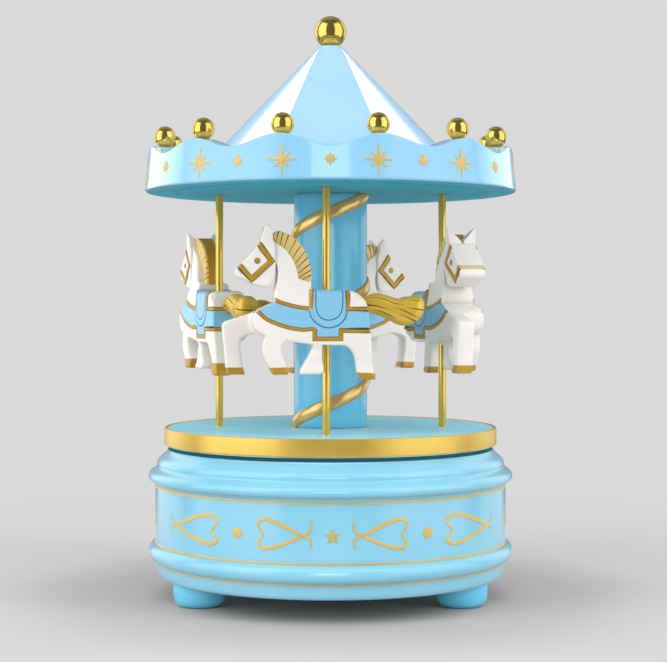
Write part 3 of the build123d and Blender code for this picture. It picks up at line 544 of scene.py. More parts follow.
def ribbon(path, widths, place, h=0.13):
    """A rounded raised stroke along a 2-D path."""
    pts = smooth_path(path, 0.22)
    n = len(pts)
    w = np.interp(np.linspace(0, 1, n), np.linspace(0, 1, len(widths)), widths)
    tan = np.gradient(pts, axis=0)
    tan /= np.linalg.norm(tan, axis=1)[:, None] + 1e-9
    nor = np.stack([-tan[:, 1], tan[:, 0]], 1)
    cross = [(-0.5, -0.06), (-0.46, h * 0.6), (-0.28, h), (0.28, h), (0.46, h * 0.6), (0.5, -0.06)]
    verts, faces = [], []
    for i in range(n):
        for c, hh in cross:
            q = pts[i] + nor[i] * c * w[i]
            verts.append(place(q[0], q[1], hh))
    k = len(cross)
    for i in range(n - 1):
        for j in range(k):
            a, b = i * k + j, i * k + (j + 1) % k
            faces.append([a, b, b + k, a + k])
    faces.append(list(range(k))[::-1])
    faces.append([(n - 1) * k + j for j in range(k)])
    return verts, faces


def flat_shape(outline, place, h=0.14, crown=0.1):
    """A raised flat emblem with a sloping edge and slightly domed top."""
    o = np.array(outline, float)
    c = o.mean(0)
    verts = [place(p[0], p[1], -0.06) for p in o]
    verts += [place(*(c + (p - c) * 0.985), h * 0.75) for p in o]
    verts += [place(*(c + (p - c) * 0.86), h) for p in o]
    verts += [place(*(c + (p - c) * 0.45), h + crown * 0.8) for p in o]
    verts.append(place(c[0], c[1], h + crown))
    n = len(o)
    faces = []
    for ring in range(3):
        for i in range(n):
            a, b = ring * n + i, ring * n + (i + 1) % n
            faces.append([a, b, b + n, a + n])
    top = 4 * n
    for i in range(n):
        faces.append([3 * n + i, 3 * n + (i + 1) % n, top])
    verts.append(place(c[0], c[1], -0.06))
    for i in range(n):
        faces.append([(i + 1) % n, i, top + 1])
    return verts, faces


def star_outline(lengths, notch, cx=0.0, cy=0.0, turn=90.0):
    out = []
    n = len(lengths)
    for i, L in enumerate(lengths):
        a = math.radians(turn + 360.0 * i / n)
        out.append((cx + L * math.cos(a), cy + L * math.sin(a)))
        a += math.pi / n
        out.append((cx + notch * math.cos(a), cy + notch * math.sin(a)))
    return out


HEART_UP = [(7.0, 0.0), (9.2, 1.05), (11.5, 2.25), (14.0, 3.35), (16.1, 4.1), (17.6, 4.4), (18.9, 4.15), (19.7, 3.45),
            (19.85, 2.6), (19.4, 1.6), (18.75, 0.85), (18.35, 0.15), (18.45, -0.45)]
HEART_DN = [(7.0, 0.0), (9.1, -0.85), (11.7, -1.95), (14.9, -3.05), (17.3, -3.65), (18.6, -3.6), (19.45, -2.95),
            (19.8, -2.05), (19.65, -1.45), (19.1, -1.15), (18.6, -0.7), (18.42, -0.35)]
CURL_UP = [(7.9, -0.35), (6.9, 0.1), (6.0, 0.55), (5.2, 1.3), (4.75, 2.3), (4.75, 3.2), (4.95, 4.2)]
CURL_DN = [(7.9, 0.35), (6.9, -0.1), (6.0, -0.45), (5.1, -0.95), (4.75, -1.7), (4.8, -2.4), (5.1, -3.4)]
BAND_TURN = 0.65


def heart_place(cross, lobes, sgn):
    """Places a scroll between the angle of its crossing and the angle of its lobes, in degrees from the front."""
    k = (lobes - cross) / 12.85

    def place(s, t, h):
        a = math.radians(sgn * (cross + (s - 7.0) * k) + BAND_TURN)
        return (BAND_R + h) * math.sin(a), -(BAND_R + h) * math.cos(a), BAND_Z + t
    return place


orn = []
HEARTS = [(8.7, 22.7, 1.0), (57.6, 37.2, 0.68), (122.4, 142.8, 0.68), (171.3, 157.3, 1.0)]
for cross, lobes, curl in HEARTS:
    for sgn in (1.0, -1.0):
        place = heart_place(cross, lobes, sgn)
        curl_up = [(7.9 + (p[0] - 7.9) * (0.4 + 0.6 * curl), p[1] * curl) for p in CURL_UP]
        curl_dn = [(7.9 + (p[0] - 7.9) * (0.4 + 0.6 * curl), p[1] * curl) for p in CURL_DN]
        orn.append(ribbon(HEART_UP, [0.75, 1.1, 1.22, 1.2, 1.15, 1.0, 0.62, 0.45], place))
        orn.append(ribbon(HEART_DN, [0.75, 1.0, 1.05, 1.1, 1.12, 1.1, 0.8, 0.45], place))
        orn.append(ribbon(curl_up, [0.4, 0.8 * curl, 0.8 * curl, 0.7 * curl, 0.55 * curl, 0.26], place))
        orn.append(ribbon(curl_dn, [0.4, 0.75 * curl, 0.75 * curl, 0.6 * curl, 0.5 * curl, 0.25], place))
for deg in (0.0, 80.0, -80.0, 100.0, -100.0, 180.0):
    ph = math.radians(deg + BAND_TURN)
    orn.append(flat_shape(star_outline([2.25] * 5, 0.98), lambda s, t, h, ph=ph: wrap(s, t - 0.1, h, ph)))
circ = [(1.55 * math.cos(2 * math.pi * i / 36), 1.55 * math.sin(2 * math.pi * i / 36)) for i in range(36)]
for deg in (29.8, -29.8, 90.0, -90.0, 150.2, -150.2):
    ph = math.radians(deg + BAND_TURN)
    orn.append(flat_shape(circ, lambda s, t, h, ph=ph: wrap(s, t + 0.15, h, ph)))
v, f = join_arrays(orn)
make("base_band_ornaments", v, f, M_PRINT, "base", sharp=35)

# feet
for node in ("foot_left", "foot_right", "foot_rear"):
    lo, hi = mm_box(node)
    cx, cy, top = (lo[0] + hi[0]) / 2, (lo[1] + hi[1]) / 2, hi[2]
    prof = [(0, 0), (3.6, 0.0), (3.9, 0.18), (4.3, 0.0)] + [tuple(p) for p in smooth_path(
        [(5.0, 0.0, "c"), (5.9, 0.14), (6.6, 0.62), (7.05, 1.35), (7.38, 2.4), (7.55, 3.6), (7.62, 4.9), (7.64, 5.9, "c")], 0.25)] \
        + [(7.64, top), (0, top)]
    lathe(node + "_turned", prof, M_FOOT, "base", (node,), segs=96, centre=(cx, cy), closed=False)

# ----------------------------------------------------------------- turntable
T0, T1 = mm_box("turntable")
TT = T1[2]
tt_prof = fillet([(0.0, TT), (49.5, TT, 0.35), (49.5, T0[2]), (47.4, T0[2], 0.2), (47.4, 47.6, 0.4), (12.0, 47.6, 0.4),
                  (12.0, T0[2], 0.2), (3.2, T0[2]), (3.2, TT - 0.01), (0.0, TT - 0.01)], 4)
tt_ring = [(46.5, TT), (48.9, TT)]
tt_prof = [p for p in tt_prof]
disc = lathe("turntable_disc", tt_prof, M_PLAT, "carousel", ("turntable",), segs=256, closed=False, sharp=30)
# painted shade: the turntable's underside takes the same darker, faintly glowing blue
disc.data.materials.append(M_GAP)
for p in disc.data.polygons:
    if p.center.z < (T0[2] + 0.1) * S:
        p.material_index = 1
R0, R1 = mm_box("turntable_rim_band")
rim_prof = fillet([(49.55, R0[2]), (50.4, R0[2], 0.42), (50.4, R1[2] + 0.15, 0.34), (49.6, R1[2] + 0.15, 0.25), (49.55, R1[2] - 0.4)], 6)
lathe("turntable_gold_rim", rim_prof, M_RIM, "carousel", ("turntable_rim_band",), segs=256, sharp=30)

# -------------------------------------------------------------------- column
C0, C1 = mm_box("centre_column")
CR = 11.07
col_prof = fillet([(9.4, C0[2]), (10.75, C0[2]), (10.75, C0[2] + 0.22), (CR, C0[2] + 0.28, 0.12), (CR, C1[2] - 0.28, 0.12),
                   (10.75, C1[2] - 0.22), (10.75, C1[2]), (9.4, C1[2])], 3)
lathe("centre_column_tube", col_prof, M_COL, "carousel", ("centre_column",), segs=192, sharp=30)


def spiral_bead():
    pitch, z0, z1 = 28.6, C0[2], C1[2]
    lead = math.atan(pitch / (2 * math.pi * CR))
    sec = [(-1.9, -0.12), (-1.86, 0.16), (-1.7, 0.42), (-1.35, 0.68), (-0.85, 0.88), (-0.3, 0.96), (0.3, 0.96),
           (0.85, 0.88), (1.35, 0.68), (1.7, 0.42), (1.86, 0.16), (1.9, -0.12)]
    turns = (z1 - z0 + 8) / pitch
    n = int(turns * 120)
    verts, faces = [], []
    for i in range(n + 1):
        z = z0 - 4 + (z1 - z0 + 8) * i / n
        a = math.radians(-183.15) + 2 * math.pi * (z - z0) / pitch
        for s, h in sec:
            r = CR + h
            aa = a - s * math.sin(lead) / CR
            verts.append((r * math.cos(aa), r * math.sin(aa), z + s * math.cos(lead)))
    k = len(sec)
    for i in range(n):
        for j in range(k):
            p, q = i * k + j, i * k + (j + 1) % k
            faces.append([p, q, q + k, p + k])
    faces.append(list(range(k))[::-1])
    faces.append([n * k + j for j in range(k)])
    bm = bmesh.new()
    bv = [bm.verts.new(p) for p in verts]
    for g in faces:
        bm.faces.new([bv[i] for i in g])
    for z, sgn in ((z0 + 0.02, -1), (z1 - 0.02, 1)):
        geom = bm.verts[:] + bm.edges[:] + bm.faces[:]
        bmesh.ops.bisect_plane(bm, geom=geom, plane_co=(0, 0, z), plane_no=(0, 0, sgn), clear_outer=True)
        edges = [e for e in bm.edges if e.is_boundary]
        if edges:
            bmesh.ops.holes_fill(bm, edges=edges, sides=0)
    bm.verts.index_update()
    vs = [tuple(v.co) for v in bm.verts]
    fs = [[v.index for v in g.verts] for g in bm.faces]
    bm.free()
    return vs, fs


v, f = spiral_bead()
make("column_spiral_bead", v, f, M_SPIRAL, "carousel", ("column_spiral",), sharp=40)

# --------------------------------------------------------------------- poles
POLE_AT = {}
for name in ("front", "left", "rear", "right"):
    node = "pole_" + name
    lo, hi = mm_box(node)
    cx, cy = (lo[0] + hi[0]) / 2, (lo[1] + hi[1]) / 2
    POLE_AT[name] = (cx, cy)
    prof = fillet([(0.8, lo[2]), (1.15, lo[2], 0.1), (1.15, hi[2], 0.1), (0.8, hi[2])], 2)
    socket = fillet([(1.17, TT - 0.02), (1.5, TT - 0.02), (1.44, TT + 0.16, 0.08), (1.17, TT + 0.2)], 2)
    v, f = join_arrays([lathe_arrays(prof, 64, (cx, cy)), lathe_arrays(socket, 64, (cx, cy))])
    make(node + "_tube", v, f, M_POLE, "carousel", (node,), sharp=30)


# -------------------------------------------------------------------- horses
def side_at(z):
    """How far out the side of the neck and trunk stands at a height."""
    a = min(1.0, max(0.0, (z - 86.5) / 10.0))
    b = min(1.0, max(0.0, (z - 97.0) / 7.0))
    return 5.8 - 1.6 * a * a * (3 - 2 * a) - 0.7 * b * b * (3 - 2 * b)


def U(x, y, v=5.8):
    """Profile sheet units to (forward, up) in millimetres about the pole, for a face standing v out from the middle."""
    z = 113.2 - 0.033551 * y
    if v is None:
        v = side_at(z)
    return ((31.71 - 0.033554 * x + 0.1219 * v) / 0.9925, z)


def sheet(pts, v=None):
    out = []
    for p in pts:
        q = U(p[0], p[1], v)
        out.append((q[0], q[1], "c") if len(p) > 2 else q)
    return out


def inside(P, poly):
    x, y = P[:, 0], P[:, 1]
    res = np.zeros(len(P), bool)
    n = len(poly)
    for i in range(n):
        x0, y0 = poly[i]
        x1, y1 = poly[(i + 1) % n]
        if y0 == y1:
            continue
        cond = (y0 > y) != (y1 > y)
        xs = x0 + (y - y0) * (x1 - x0) / (y1 - y0)
        res ^= cond & (x < xs)
    return res


def dist(P, poly, closed=True):
    A = np.array(poly, float)
    B = np.roll(A, -1, axis=0)
    if not closed:
        A, B = A[:-1], B[:-1]
    best = np.full(len(P), 1e9)
    for i in range(0, len(A), 64):
        a, b = A[i:i + 64][None], B[i:i + 64][None]
        ab = b - a
        t = np.clip(((P[:, None] - a) * ab).sum(2) / ((ab * ab).sum(2) + 1e-12), 0, 1)
        d = np.linalg.norm(P[:, None] - (a + t[..., None] * ab), axis=2).min(1)
        best = np.minimum(best, d)
    return best


def sstep(x, a, b):
    t = np.clip((x - a) / (b - a), 0, 1)
    return t * t * (3 - 2 * t)


def inset_points(poly, d):
    p = np.array(poly, float)
    nxt, prv = np.roll(p, -1, axis=0), np.roll(p, 1, axis=0)
    t = nxt - prv
    t /= np.linalg.norm(t, axis=1)[:, None] + 1e-9
    n = np.stack([-t[:, 1], t[:, 0]], 1)
    area = 0.5 * np.sum(p[:, 0] * nxt[:, 1] - nxt[:, 0] * p[:, 1])
    if area < 0:
        n = -n
    dd = d if np.ndim(d) == 0 else np.array(d)[:, None]
    return p + n * dd


def relief(outline, regions, w, r, inner=None, grid=0.85, wall=None, strip=1.2):
    """A solid whose side view is outline. Its outer face stands at w(u, z), rounded by r at the outline;
    regions are (polygon, material index, raise) painted in order. inner gives the other face, or None for a mirror.
    wall(u, z, material) picks the finish of the edge surface further than strip from the outer face."""
    O = np.array(outline, float)
    pts = [tuple(p) for p in O]
    edges = [(i, (i + 1) % len(O)) for i in range(len(O))]
    polys = []
    for poly, mat, lift in regions:
        q = np.array(poly, float)
        polys.append(q)
        s = len(pts)
        pts.extend(tuple(p) for p in q)
        edges.extend((s + i, s + (i + 1) % len(q)) for i in range(len(q)))
    free = []
    rr = r(O)
    for k in ((0.134, 0.5, 1.0) if float(np.max(rr)) < 2.4 else (0.05, 0.134, 0.26, 0.42, 0.6, 0.8, 1.0)):
        q = inset_points(O, rr * k)
        d = dist(q, O)
        ok = inside(q, O) & (d > rr * k * 0.8)
        free.append(q[ok])
    for q0 in polys:
        for dd in (0.1, -0.1):
            q = inset_points(q0, dd)
            ok = inside(q, O) & (dist(q, O) > 0.12)
            free.append(q[ok])
    lo, hi = O.min(0), O.max(0)
    gx = np.arange(lo[0], hi[0], grid)
    gy = np.arange(lo[1], hi[1], grid * 0.87)
    G = np.array([(x + (0.5 * grid if j % 2 else 0), y) for j, y in enumerate(gy) for x in gx])
    G = G[inside(G, O)]
    G = G[dist(G, O) > r(G) + 0.25]
    for q0 in polys:
        if len(G):
            G = G[dist(G, q0) > 0.28]
    free.append(G)
    free = [q for q in free if len(q)]
    F = np.concatenate(free)
    keep = dist(F, O) > 0.03
    F = F[keep]
    for q0 in polys:
        F = F[dist(F, q0) > 0.05]
    seen, F2 = set(), []
    for p in F:
        key = (round(p[0] / 0.07), round(p[1] / 0.07))
        if key not in seen:
            seen.add(key)
            F2.append(p)
    allp = [Vector(p) for p in pts] + [Vector(p) for p in F2]
    res = delaunay_2d_cdt(allp, edges, [], 0, 1e-5, False)
    V = np.array([tuple(p) for p in res[0]])
    T = np.array([f for f in res[2] if len(f) == 3], int)
    C = V[T].mean(1)
    T = T[inside(C, O)]
    C = V[T].mean(1)
    mat = np.zeros(len(T), int)
    for (poly, mi, lift), q in zip(regions, polys):
        mat[inside(C, q)] = mi
    used = np.unique(T)
    remap = -np.ones(len(V), int)
    remap[used] = np.arange(len(used))
    V, T = V[used], remap[T]
    d = dist(V, O)
    rv = r(V)
    dd = np.minimum(d, rv)
    drop = rv - np.sqrt(np.maximum(0, rv ** 2 - (rv - dd) ** 2))
    h = w(V) - drop
    for (poly, mi, lift), q in zip(regions, polys):
        if lift:
            ins = inside(V, q)
            h = h + lift * sstep(np.where(ins, dist(V, q), 0.0), 0.0, 0.11)
    n = len(V)
    if inner is None:
        hin = -h
    else:
        hin = inner(V, d)
        hin = np.minimum(hin, h - 0.05)
    verts = [(V[i, 0], h[i], V[i, 1]) for i in range(n)] + [(V[i, 0], hin[i], V[i, 1]) for i in range(n)]
    faces, fm = [], []
    count = {}
    for t, m in zip(T, mat):
        faces.append([t[0], t[1], t[2]])
        fm.append(m)
        for a, b in ((0, 1), (1, 2), (2, 0)):
            count.setdefault((min(t[a], t[b]), max(t[a], t[b])), []).append((t[a], t[b], m))
    for t, m in zip(T, mat):
        faces.append([t[2] + n, t[1] + n, t[0] + n])
        fm.append(m)
    ring = {}

    def mid(i, side):
        if (i, side) not in ring:
            top, low = h[i], hin[i]
            cut = min(strip, 0.5 * (top - low)) if inner is None else min(strip, 0.9 * (top - low))
            ring[(i, side)] = len(verts)
            verts.append((V[i, 0], top - cut if side else low + cut, V[i, 1]))
        return ring[(i, side)]
    for e in count.values():
        if len(e) == 1:
            a, b, m = e[0]
            m2 = m if wall is None else wall(0.5 * (V[a, 0] + V[b, 0]), 0.5 * (V[a, 1] + V[b, 1]), m)
            if m2 == m or strip <= 0:
                faces.append([b, a, a + n, b + n])
                fm.append(m2)
                continue
            faces.append([b, a, mid(a, 1), mid(b, 1)])
            fm.append(m)
            if inner is None and min(h[a] - hin[a], h[b] - hin[b]) > 2 * strip + 0.1:
                faces.append([mid(b, 1), mid(a, 1), mid(a, 0), mid(b, 0)])
                fm.append(m2)
                faces.append([mid(b, 0), mid(a, 0), a + n, b + n])
                fm.append(m)
            else:
                faces.append([mid(b, 1), mid(a, 1), a + n, b + n])
                fm.append(m2)
    return verts, faces, fm


def stroke(pts, half):
    """Closed polygon round a polyline, with mitred corners."""
    p = [np.array(q[:2], float) for q in pts]
    hw = half if isinstance(half, (list, tuple)) else [half] * len(p)
    left, right = [], []
    for i in range(len(p)):
        a = p[i] - p[i - 1] if i > 0 else p[i + 1] - p[i]
        b = p[i + 1] - p[i] if i < len(p) - 1 else a
        a = a / np.linalg.norm(a)
        b = b / np.linalg.norm(b)
        na, nb = np.array([-a[1], a[0]]), np.array([-b[1], b[0]])
        m = na + nb
        m = m / np.linalg.norm(m)
        k = hw[i] / max(0.4, float(m @ na))
        left.append(p[i] + m * k)
        right.append(p[i] - m * k)
    return np.array(left + right[::-1])


H_MATS = [M_HORSE, M_BAND, M_STRAP, M_LINE, M_MANE, M_MLINE, M_MANE_EDGE_SHADE, M_NOSE, M_TAIL]
WHITE, BLUE, STRAP, LINE, MANE, MLINE, MANE_EDGE_SHADE, NOSE, TAILC = range(9)
PX = 0.03355                    # one sheet unit in millimetres

top_line = [(475, 215, "c"), (500, 212, "c"), (512, 232), (556, 262), (600, 293), (648, 352), (684, 420), (704, 482), (712, 541, "c"),
            (760, 556), (818, 569, "c"), (819, 622, "c"), (860, 630), (950, 637), (1050, 637), (1108, 638), (1150, 643),
            (1205, 659), (1250, 695), (1283, 752), (1302, 812), (1308, 880), (1311, 960)]
rear_left = [(1320, 1010), (1330, 1150), (1342, 1280), (1350, 1334), (1362, 1345, "c"), (1361, 1388, "c"), (1300, 1392),
             (1262, 1390), (1228, 1366), (1212, 1336), (1206, 1300), (1198, 1235), (1178, 1172), (1140, 1126),
             (1092, 1103, "c")]
chest = [(396, 1000), (356, 962), (342, 905), (344, 855), (385, 804, "c")]
belly_left = [(1000, 1102), (915, 1100, "c"), (913, 1200), (913, 1332), (896, 1346, "c"), (735, 1346, "c"), (731, 1322),
              (757, 1268), (800, 1190), (826, 1135), (836, 1096, "c"), (760, 1086), (690, 1074), (612, 1060, "c"),
              (580, 1098), (571, 1150), (584, 1198), (606, 1246), (624, 1288), (627, 1345, "c"), (506, 1346, "c"),
              (480, 1302), (462, 1270), (431, 1206), (415, 1150), (419, 1090), (437, 1020, "c")] + chest
front_up = [(440, 776), (522, 742, "c"), (517, 700), (522, 640), (537, 560), (540, 470), (515, 380), (490, 290), (478, 230)]
OUT_LEFT = smooth_path(sheet(top_line + rear_left + belly_left + front_up), 0.42, True)
rear_right = [(1316, 985), (1300, 1030), (1250, 1062), (1170, 1084), (1080, 1096), (1000, 1100)]
belly_right = [(840, 1094), (690, 1074), (600, 1056), (530, 1040), (460, 1026), (420, 1013), (375, 1010), (323, 1018),
               (271, 1032), (248, 1056), (246, 1120), (254, 1210), (266, 1290), (284, 1352, "c"), (137, 1352, "c"),
               (124, 1290), (116, 1180), (104, 1060), (96, 980), (95, 932, "c"), (111, 909), (175, 884), (270, 854),
               (340, 829), (385, 804, "c")]
OUT_RIGHT = smooth_path(sheet(top_line + rear_right + belly_right + front_up), 0.42, True)


def reg(pts, mat, lift, closed_smooth=True, step=0.45):
    return (smooth_path(sheet(pts), step, True), mat, lift)


def sreg(pts, half, mat, lift, smooth=True):
    q = smooth_path(sheet(pts), 0.45) if smooth else np.array([p[:2] for p in sheet(pts)])
    return (stroke(q, half * PX), mat, lift)


def strap(pts, half, lift, smooth=True):
    """A gilt strap with a thin dark outline."""
    return [sreg(pts, half + 4.5, MLINE, 0.03, smooth), sreg(pts, half, STRAP, lift - 0.03, smooth)]


BAND = [(300, 838, "c"), (382, 812), (446, 866), (545, 912), (650, 943), (750, 958), (862, 962, "c"), (862, 1030, "c"),
        (1052, 1030, "c"), (1052, 962, "c"), (1400, 962, "c"), (1400, 811, "c"), (1128, 811, "c"), (1128, 600, "c"),
        (821, 600, "c"), (821, 628, "c"), (812, 628, "c"), (812, 804, "c"), (700, 790), (600, 768), (512, 736), (470, 700, "c"),
        (360, 700, "c"), (300, 760, "c")]
BAND_REGION = reg(BAND, BLUE, 0.14)
G_UP_FRONT = strap([(440, 690), (505, 715), (560, 740), (640, 764), (720, 782), (806, 793)], 12.5, 0.14)
G_LOW_FRONT = strap([(300, 790), (372, 818), (440, 876), (545, 925), (650, 956), (750, 971), (848, 977), (850, 980)], 12.5, 0.14)
G_GIRTH = strap([(848, 965), (848, 1048), (1068, 1048), (1068, 979), (1420, 979)], 14.5, 0.14, smooth=False)
G_UP_REAR = strap([(1106, 797), (1420, 797)], 13.5, 0.14, smooth=False)
G_SAD_L = [(np.array([p[:2] for p in sheet([(821, 600), (833, 600), (833, 792), (801, 792), (801, 628), (821, 628)])]), STRAP, 0.16)]
G_SAD_R = [sreg([(1118, 600), (1122, 640), (1126, 800)], 16, STRAP, 0.16, smooth=False)]
SAD = reg([(836, 600, "c"), (836, 700), (832, 800), (842, 862), (880, 915), (925, 943), (968, 950), (1012, 942), (1060, 915),
           (1096, 868), (1106, 800), (1104, 700), (1102, 600, "c")], BLUE, 0.16)
L_OUT = sreg([(806, 812), (812, 850), (834, 890), (880, 930), (925, 950), (968, 955), (1010, 949), (1058, 925), (1100, 880),
              (1114, 845), (1118, 812)], 4.6, LINE, -0.06)
L_IN = sreg([(856, 600), (856, 700), (860, 790), (876, 842), (906, 874), (940, 888), (970, 890), (1006, 884), (1046, 858),
             (1070, 820), (1080, 770), (1082, 700), (1079, 600)], 4.6, LINE, -0.1)


def hoof(pts):
    return reg(pts, STRAP, 0.05)


HOOF_A = hoof([(60, 1291, "c"), (280, 1291, "c"), (280, 1380, "c"), (60, 1380, "c")])
HOOF_B = hoof([(474, 1288, "c"), (640, 1284, "c"), (640, 1370, "c"), (500, 1370, "c")])
HOOF_E = hoof([(1190, 1330, "c"), (1380, 1336, "c"), (1380, 1410, "c"), (1190, 1410, "c")])
HOOF_A_TALL = hoof([(60, 1281, "c"), (300, 1281, "c"), (300, 1380, "c"), (60, 1380, "c")])
HOOF_B_TALL = hoof([(440, 1263, "c"), (640, 1259, "c"), (640, 1370, "c"), (440, 1370, "c")])
HOOF_E_TALL = hoof([(1180, 1276, "c"), (1380, 1280, "c"), (1380, 1410, "c"), (1180, 1410, "c")])


def w_body(V):
    """Half width of neck and trunk: slim at the poll, full at the shoulder."""
    z, u = V[:, 1], V[:, 0]
    base = 5.8 - 1.6 * sstep(z, 86.5, 96.5) - 0.7 * sstep(z, 97.0, 104.0)
    back = sstep(u, 6.0, 3.5)
    base = np.where(z > 86.0, base * (1 - back) + 5.8 * back, base)
    crown = 0.1 * np.sin(np.clip((z - 76.0) / 12.0, 0, 1) * math.pi)
    return base + crown


def w_left(V):
    u, z = V[:, 0], V[:, 1]
    inner_leg = sstep(z, 76.6, 75.2) * sstep(u, 8.2, 7.6) * sstep(u, 0.4, 1.0)
    thigh = 0.22 * np.exp(-((u + 8.5) / 3.2) ** 2 - ((z - 78.0) / 4.5) ** 2)
    fore = 0.18 * np.exp(-((u - 13.5) / 2.6) ** 2 - ((z - 78.0) / 3.0) ** 2)
    ankle = -0.25 * sstep(z, 74.0, 71.0) * sstep(z, 68.6, 70.0)
    return w_body(V) - 0.5 * inner_leg + thigh + fore + ankle


def w_right(V):
    u, z = V[:, 0], V[:, 1]
    thigh = 0.22 * np.exp(-((u + 8.0) / 4.0) ** 2 - ((z - 80.0) / 4.5) ** 2)
    ankle = -0.25 * sstep(z, 74.0, 71.0) * sstep(z, 68.6, 70.0)
    return w_body(V) + thigh + ankle


def r_body(V):
    u, z = V[:, 0], V[:, 1]
    back = sstep(z, 88.6, 90.6) * sstep(u, 4.6, 3.6)
    leg = sstep(z, 77.0, 75.5)
    return 0.5 + 1.5 * back + 0.25 * leg


def r_right(V):
    u, z = V[:, 0], V[:, 1]
    return r_body(V) + 1.5 * sstep(u, -6.0, -8.0) * sstep(z, 80.5, 79.0)


TRUNK = smooth_path(sheet(top_line + rear_right + [(840, 1094), (690, 1074), (600, 1056), (437, 1022)] + chest + front_up), 0.42, True)


def wall_body(u, z, m):
    """The chest and the throat between the painted sides stay white."""
    return WHITE if (u > 14.0 and z > 81.5) else m


def inner_left(V, d):
    """Flat inner sides of the legs, and the parting plane of the trunk."""
    leg = ~inside(V, TRUNK)
    rr = 0.6
    dd = np.minimum(d, rr)
    drop = rr - np.sqrt(np.maximum(0, rr ** 2 - (rr - dd) ** 2))
    lift = sstep(dist(V, TRUNK), 0.0, 1.2)
    return np.where(leg, (1.1 + drop) * lift, 0.0)


TRUNK_R = TRUNK


def inner_right(V, d):
    leg = ~inside(V, TRUNK_R)
    rr = 0.6
    dd = np.minimum(d, rr)
    drop = rr - np.sqrt(np.maximum(0, rr ** 2 - (rr - dd) ** 2))
    lift = sstep(dist(V, TRUNK_R), 0.0, 1.2)
    return np.where(leg, (1.1 + drop) * lift, 0.0)


BODY_REGIONS = [BAND_REGION] + G_UP_FRONT + G_LOW_FRONT + G_GIRTH + G_UP_REAR + [SAD, L_OUT, L_IN] + G_SAD_L + G_SAD_R
PIECES = {}
PIECES["body_left"] = relief(OUT_LEFT, BODY_REGIONS + [HOOF_B, HOOF_E], w_left, r_body, inner_left, wall=wall_body, strip=0.0)
vr, fr, mr = relief(OUT_RIGHT, BODY_REGIONS + [HOOF_A], w_right, r_right, inner_right, wall=wall_body, strip=0.0)
PIECES["body_right"] = ([(x, -y, z) for x, y, z in vr], fr, mr)
# the side horses wear taller painted hooves
VARIANT = {("left", "body_left"): relief(OUT_LEFT, BODY_REGIONS + [HOOF_B_TALL, HOOF_E_TALL], w_left, r_body, inner_left, wall=wall_body, strip=0.0)}
vr, fr, mr = relief(OUT_RIGHT, BODY_REGIONS + [HOOF_A_TALL], w_right, r_right, inner_right, wall=wall_body, strip=0.0)
VARIANT[("right", "body_right")] = ([(x, -y, z) for x, y, z in vr], fr, mr)

HEAD = smooth_path(sheet([(395, 234, "c"), (366, 274), (296, 353), (226, 430), (204, 454), (192, 480), (191, 506), (206, 528),
                          (262, 547), (316, 576), (365, 598), (425, 607), (475, 598), (503, 566), (518, 505), (524, 430),
                          (520, 330), (512, 240), (500, 214, "c"), (450, 210)], 4.3), 0.4, True)


def w_head(V):
    z, u = V[:, 1], V[:, 0]
    base = 3.75 + 0.55 * sstep(z, 95.0, 100.0)
    cheek = 0.22 * np.exp(-((u - 17.0) / 2.4) ** 2 - ((z - 97.2) / 2.2) ** 2)
    mouth = -0.12 * np.exp(-((z - 95.9 - (u - 24.0) * 0.35) / 0.2) ** 2) * sstep(u, 22.4, 23.4)
    return base + cheek + mouth


def r_const(k):
    return lambda V: np.full(len(V), k)


B_LINE = [U(345, 193, 4.3), U(487, 396, 4.3), U(323, 545, 4.3), U(180, 392, 4.3)]
BRIDLE = [(stroke(B_LINE, 24.0 * PX), MLINE, 0.04), (stroke(B_LINE, 19.5 * PX), STRAP, 0.12)]
EYE_C = U(369, 394, 4.3)
EYE = [([(EYE_C[0] + q * math.cos(2 * math.pi * i / 28), EYE_C[1] + q * math.sin(2 * math.pi * i / 28)) for i in range(28)], mm, up)
       for q, mm, up in ((0.86, MLINE, 0.04), (0.72, STRAP, 0.16))]


def wall_head(u, z, m):
    if m == WHITE:
        return m
    return NOSE if z < 101.5 else WHITE


PIECES["head"] = relief(HEAD, BRIDLE + EYE, w_head, r_const(0.5), None, grid=0.55, wall=wall_head, strip=0.0)

EAR = smooth_path(sheet([(400, 245, "c"), (412, 180), (428, 128), (440, 97), (455, 88), (475, 103), (490, 130), (497, 165),
                         (500, 240, "c"), (450, 256)], 4.4), 0.3, True)


def w_ear(V):
    return 4.15 + 0.1 * (V[:, 1] - 105.0)


def inner_ear(V, d):
    z = V[:, 1]
    return 0.4 + 3.9 * np.clip((z - 106.3) / 3.9, 0, 1)


ve, fe, me_ = relief(EAR, [], w_ear, r_const(0.3), inner_ear, grid=0.5)
ve2 = [(x, -y, z) for x, y, z in ve]
both = join_arrays([(ve, fe), (ve2, fe)])
PIECES["ears"] = (both[0], both[1], list(me_) * 2)

MV = 2.6
mane_out = [(540, 141), (600, 157), (650, 180), (700, 218), (745, 272), (780, 335), (803, 405), (816, 475)]
MANE_OUT = smooth_path(sheet([(500, 210, "c"), (503, 156, "c")] + mane_out + [(821, 574, "c"), (760, 566), (685, 556, "c"),
                             (672, 500), (655, 450), (620, 392), (578, 335), (540, 295)], MV), 0.36, True)
HATCH = []
for a, b in (((545, 150), (522, 235)), ((580, 160), (560, 262)), ((628, 180), (592, 290)), ((682, 235), (632, 330)),
             ((718, 285), (662, 372)), ((752, 330), (685, 415)), ((782, 372), (698, 455)), ((800, 425), (705, 500)),
             ((812, 470), (715, 535)), ((818, 512), (745, 550))):
    p0, p1 = np.array(U(*a, MV)), np.array(U(*b, MV))
    e0, e1 = p0 + (p0 - p1) * 0.2, p1 + (p1 - p0) * 0.1
    mid_ = (e0 + e1) / 2 + np.array([0.12, -0.05])
    HATCH.append((stroke([e0, mid_, e1], [0.125, 0.11, 0.06]), MLINE, -0.16))


def w_mane(V):
    return np.full(len(V), MV)


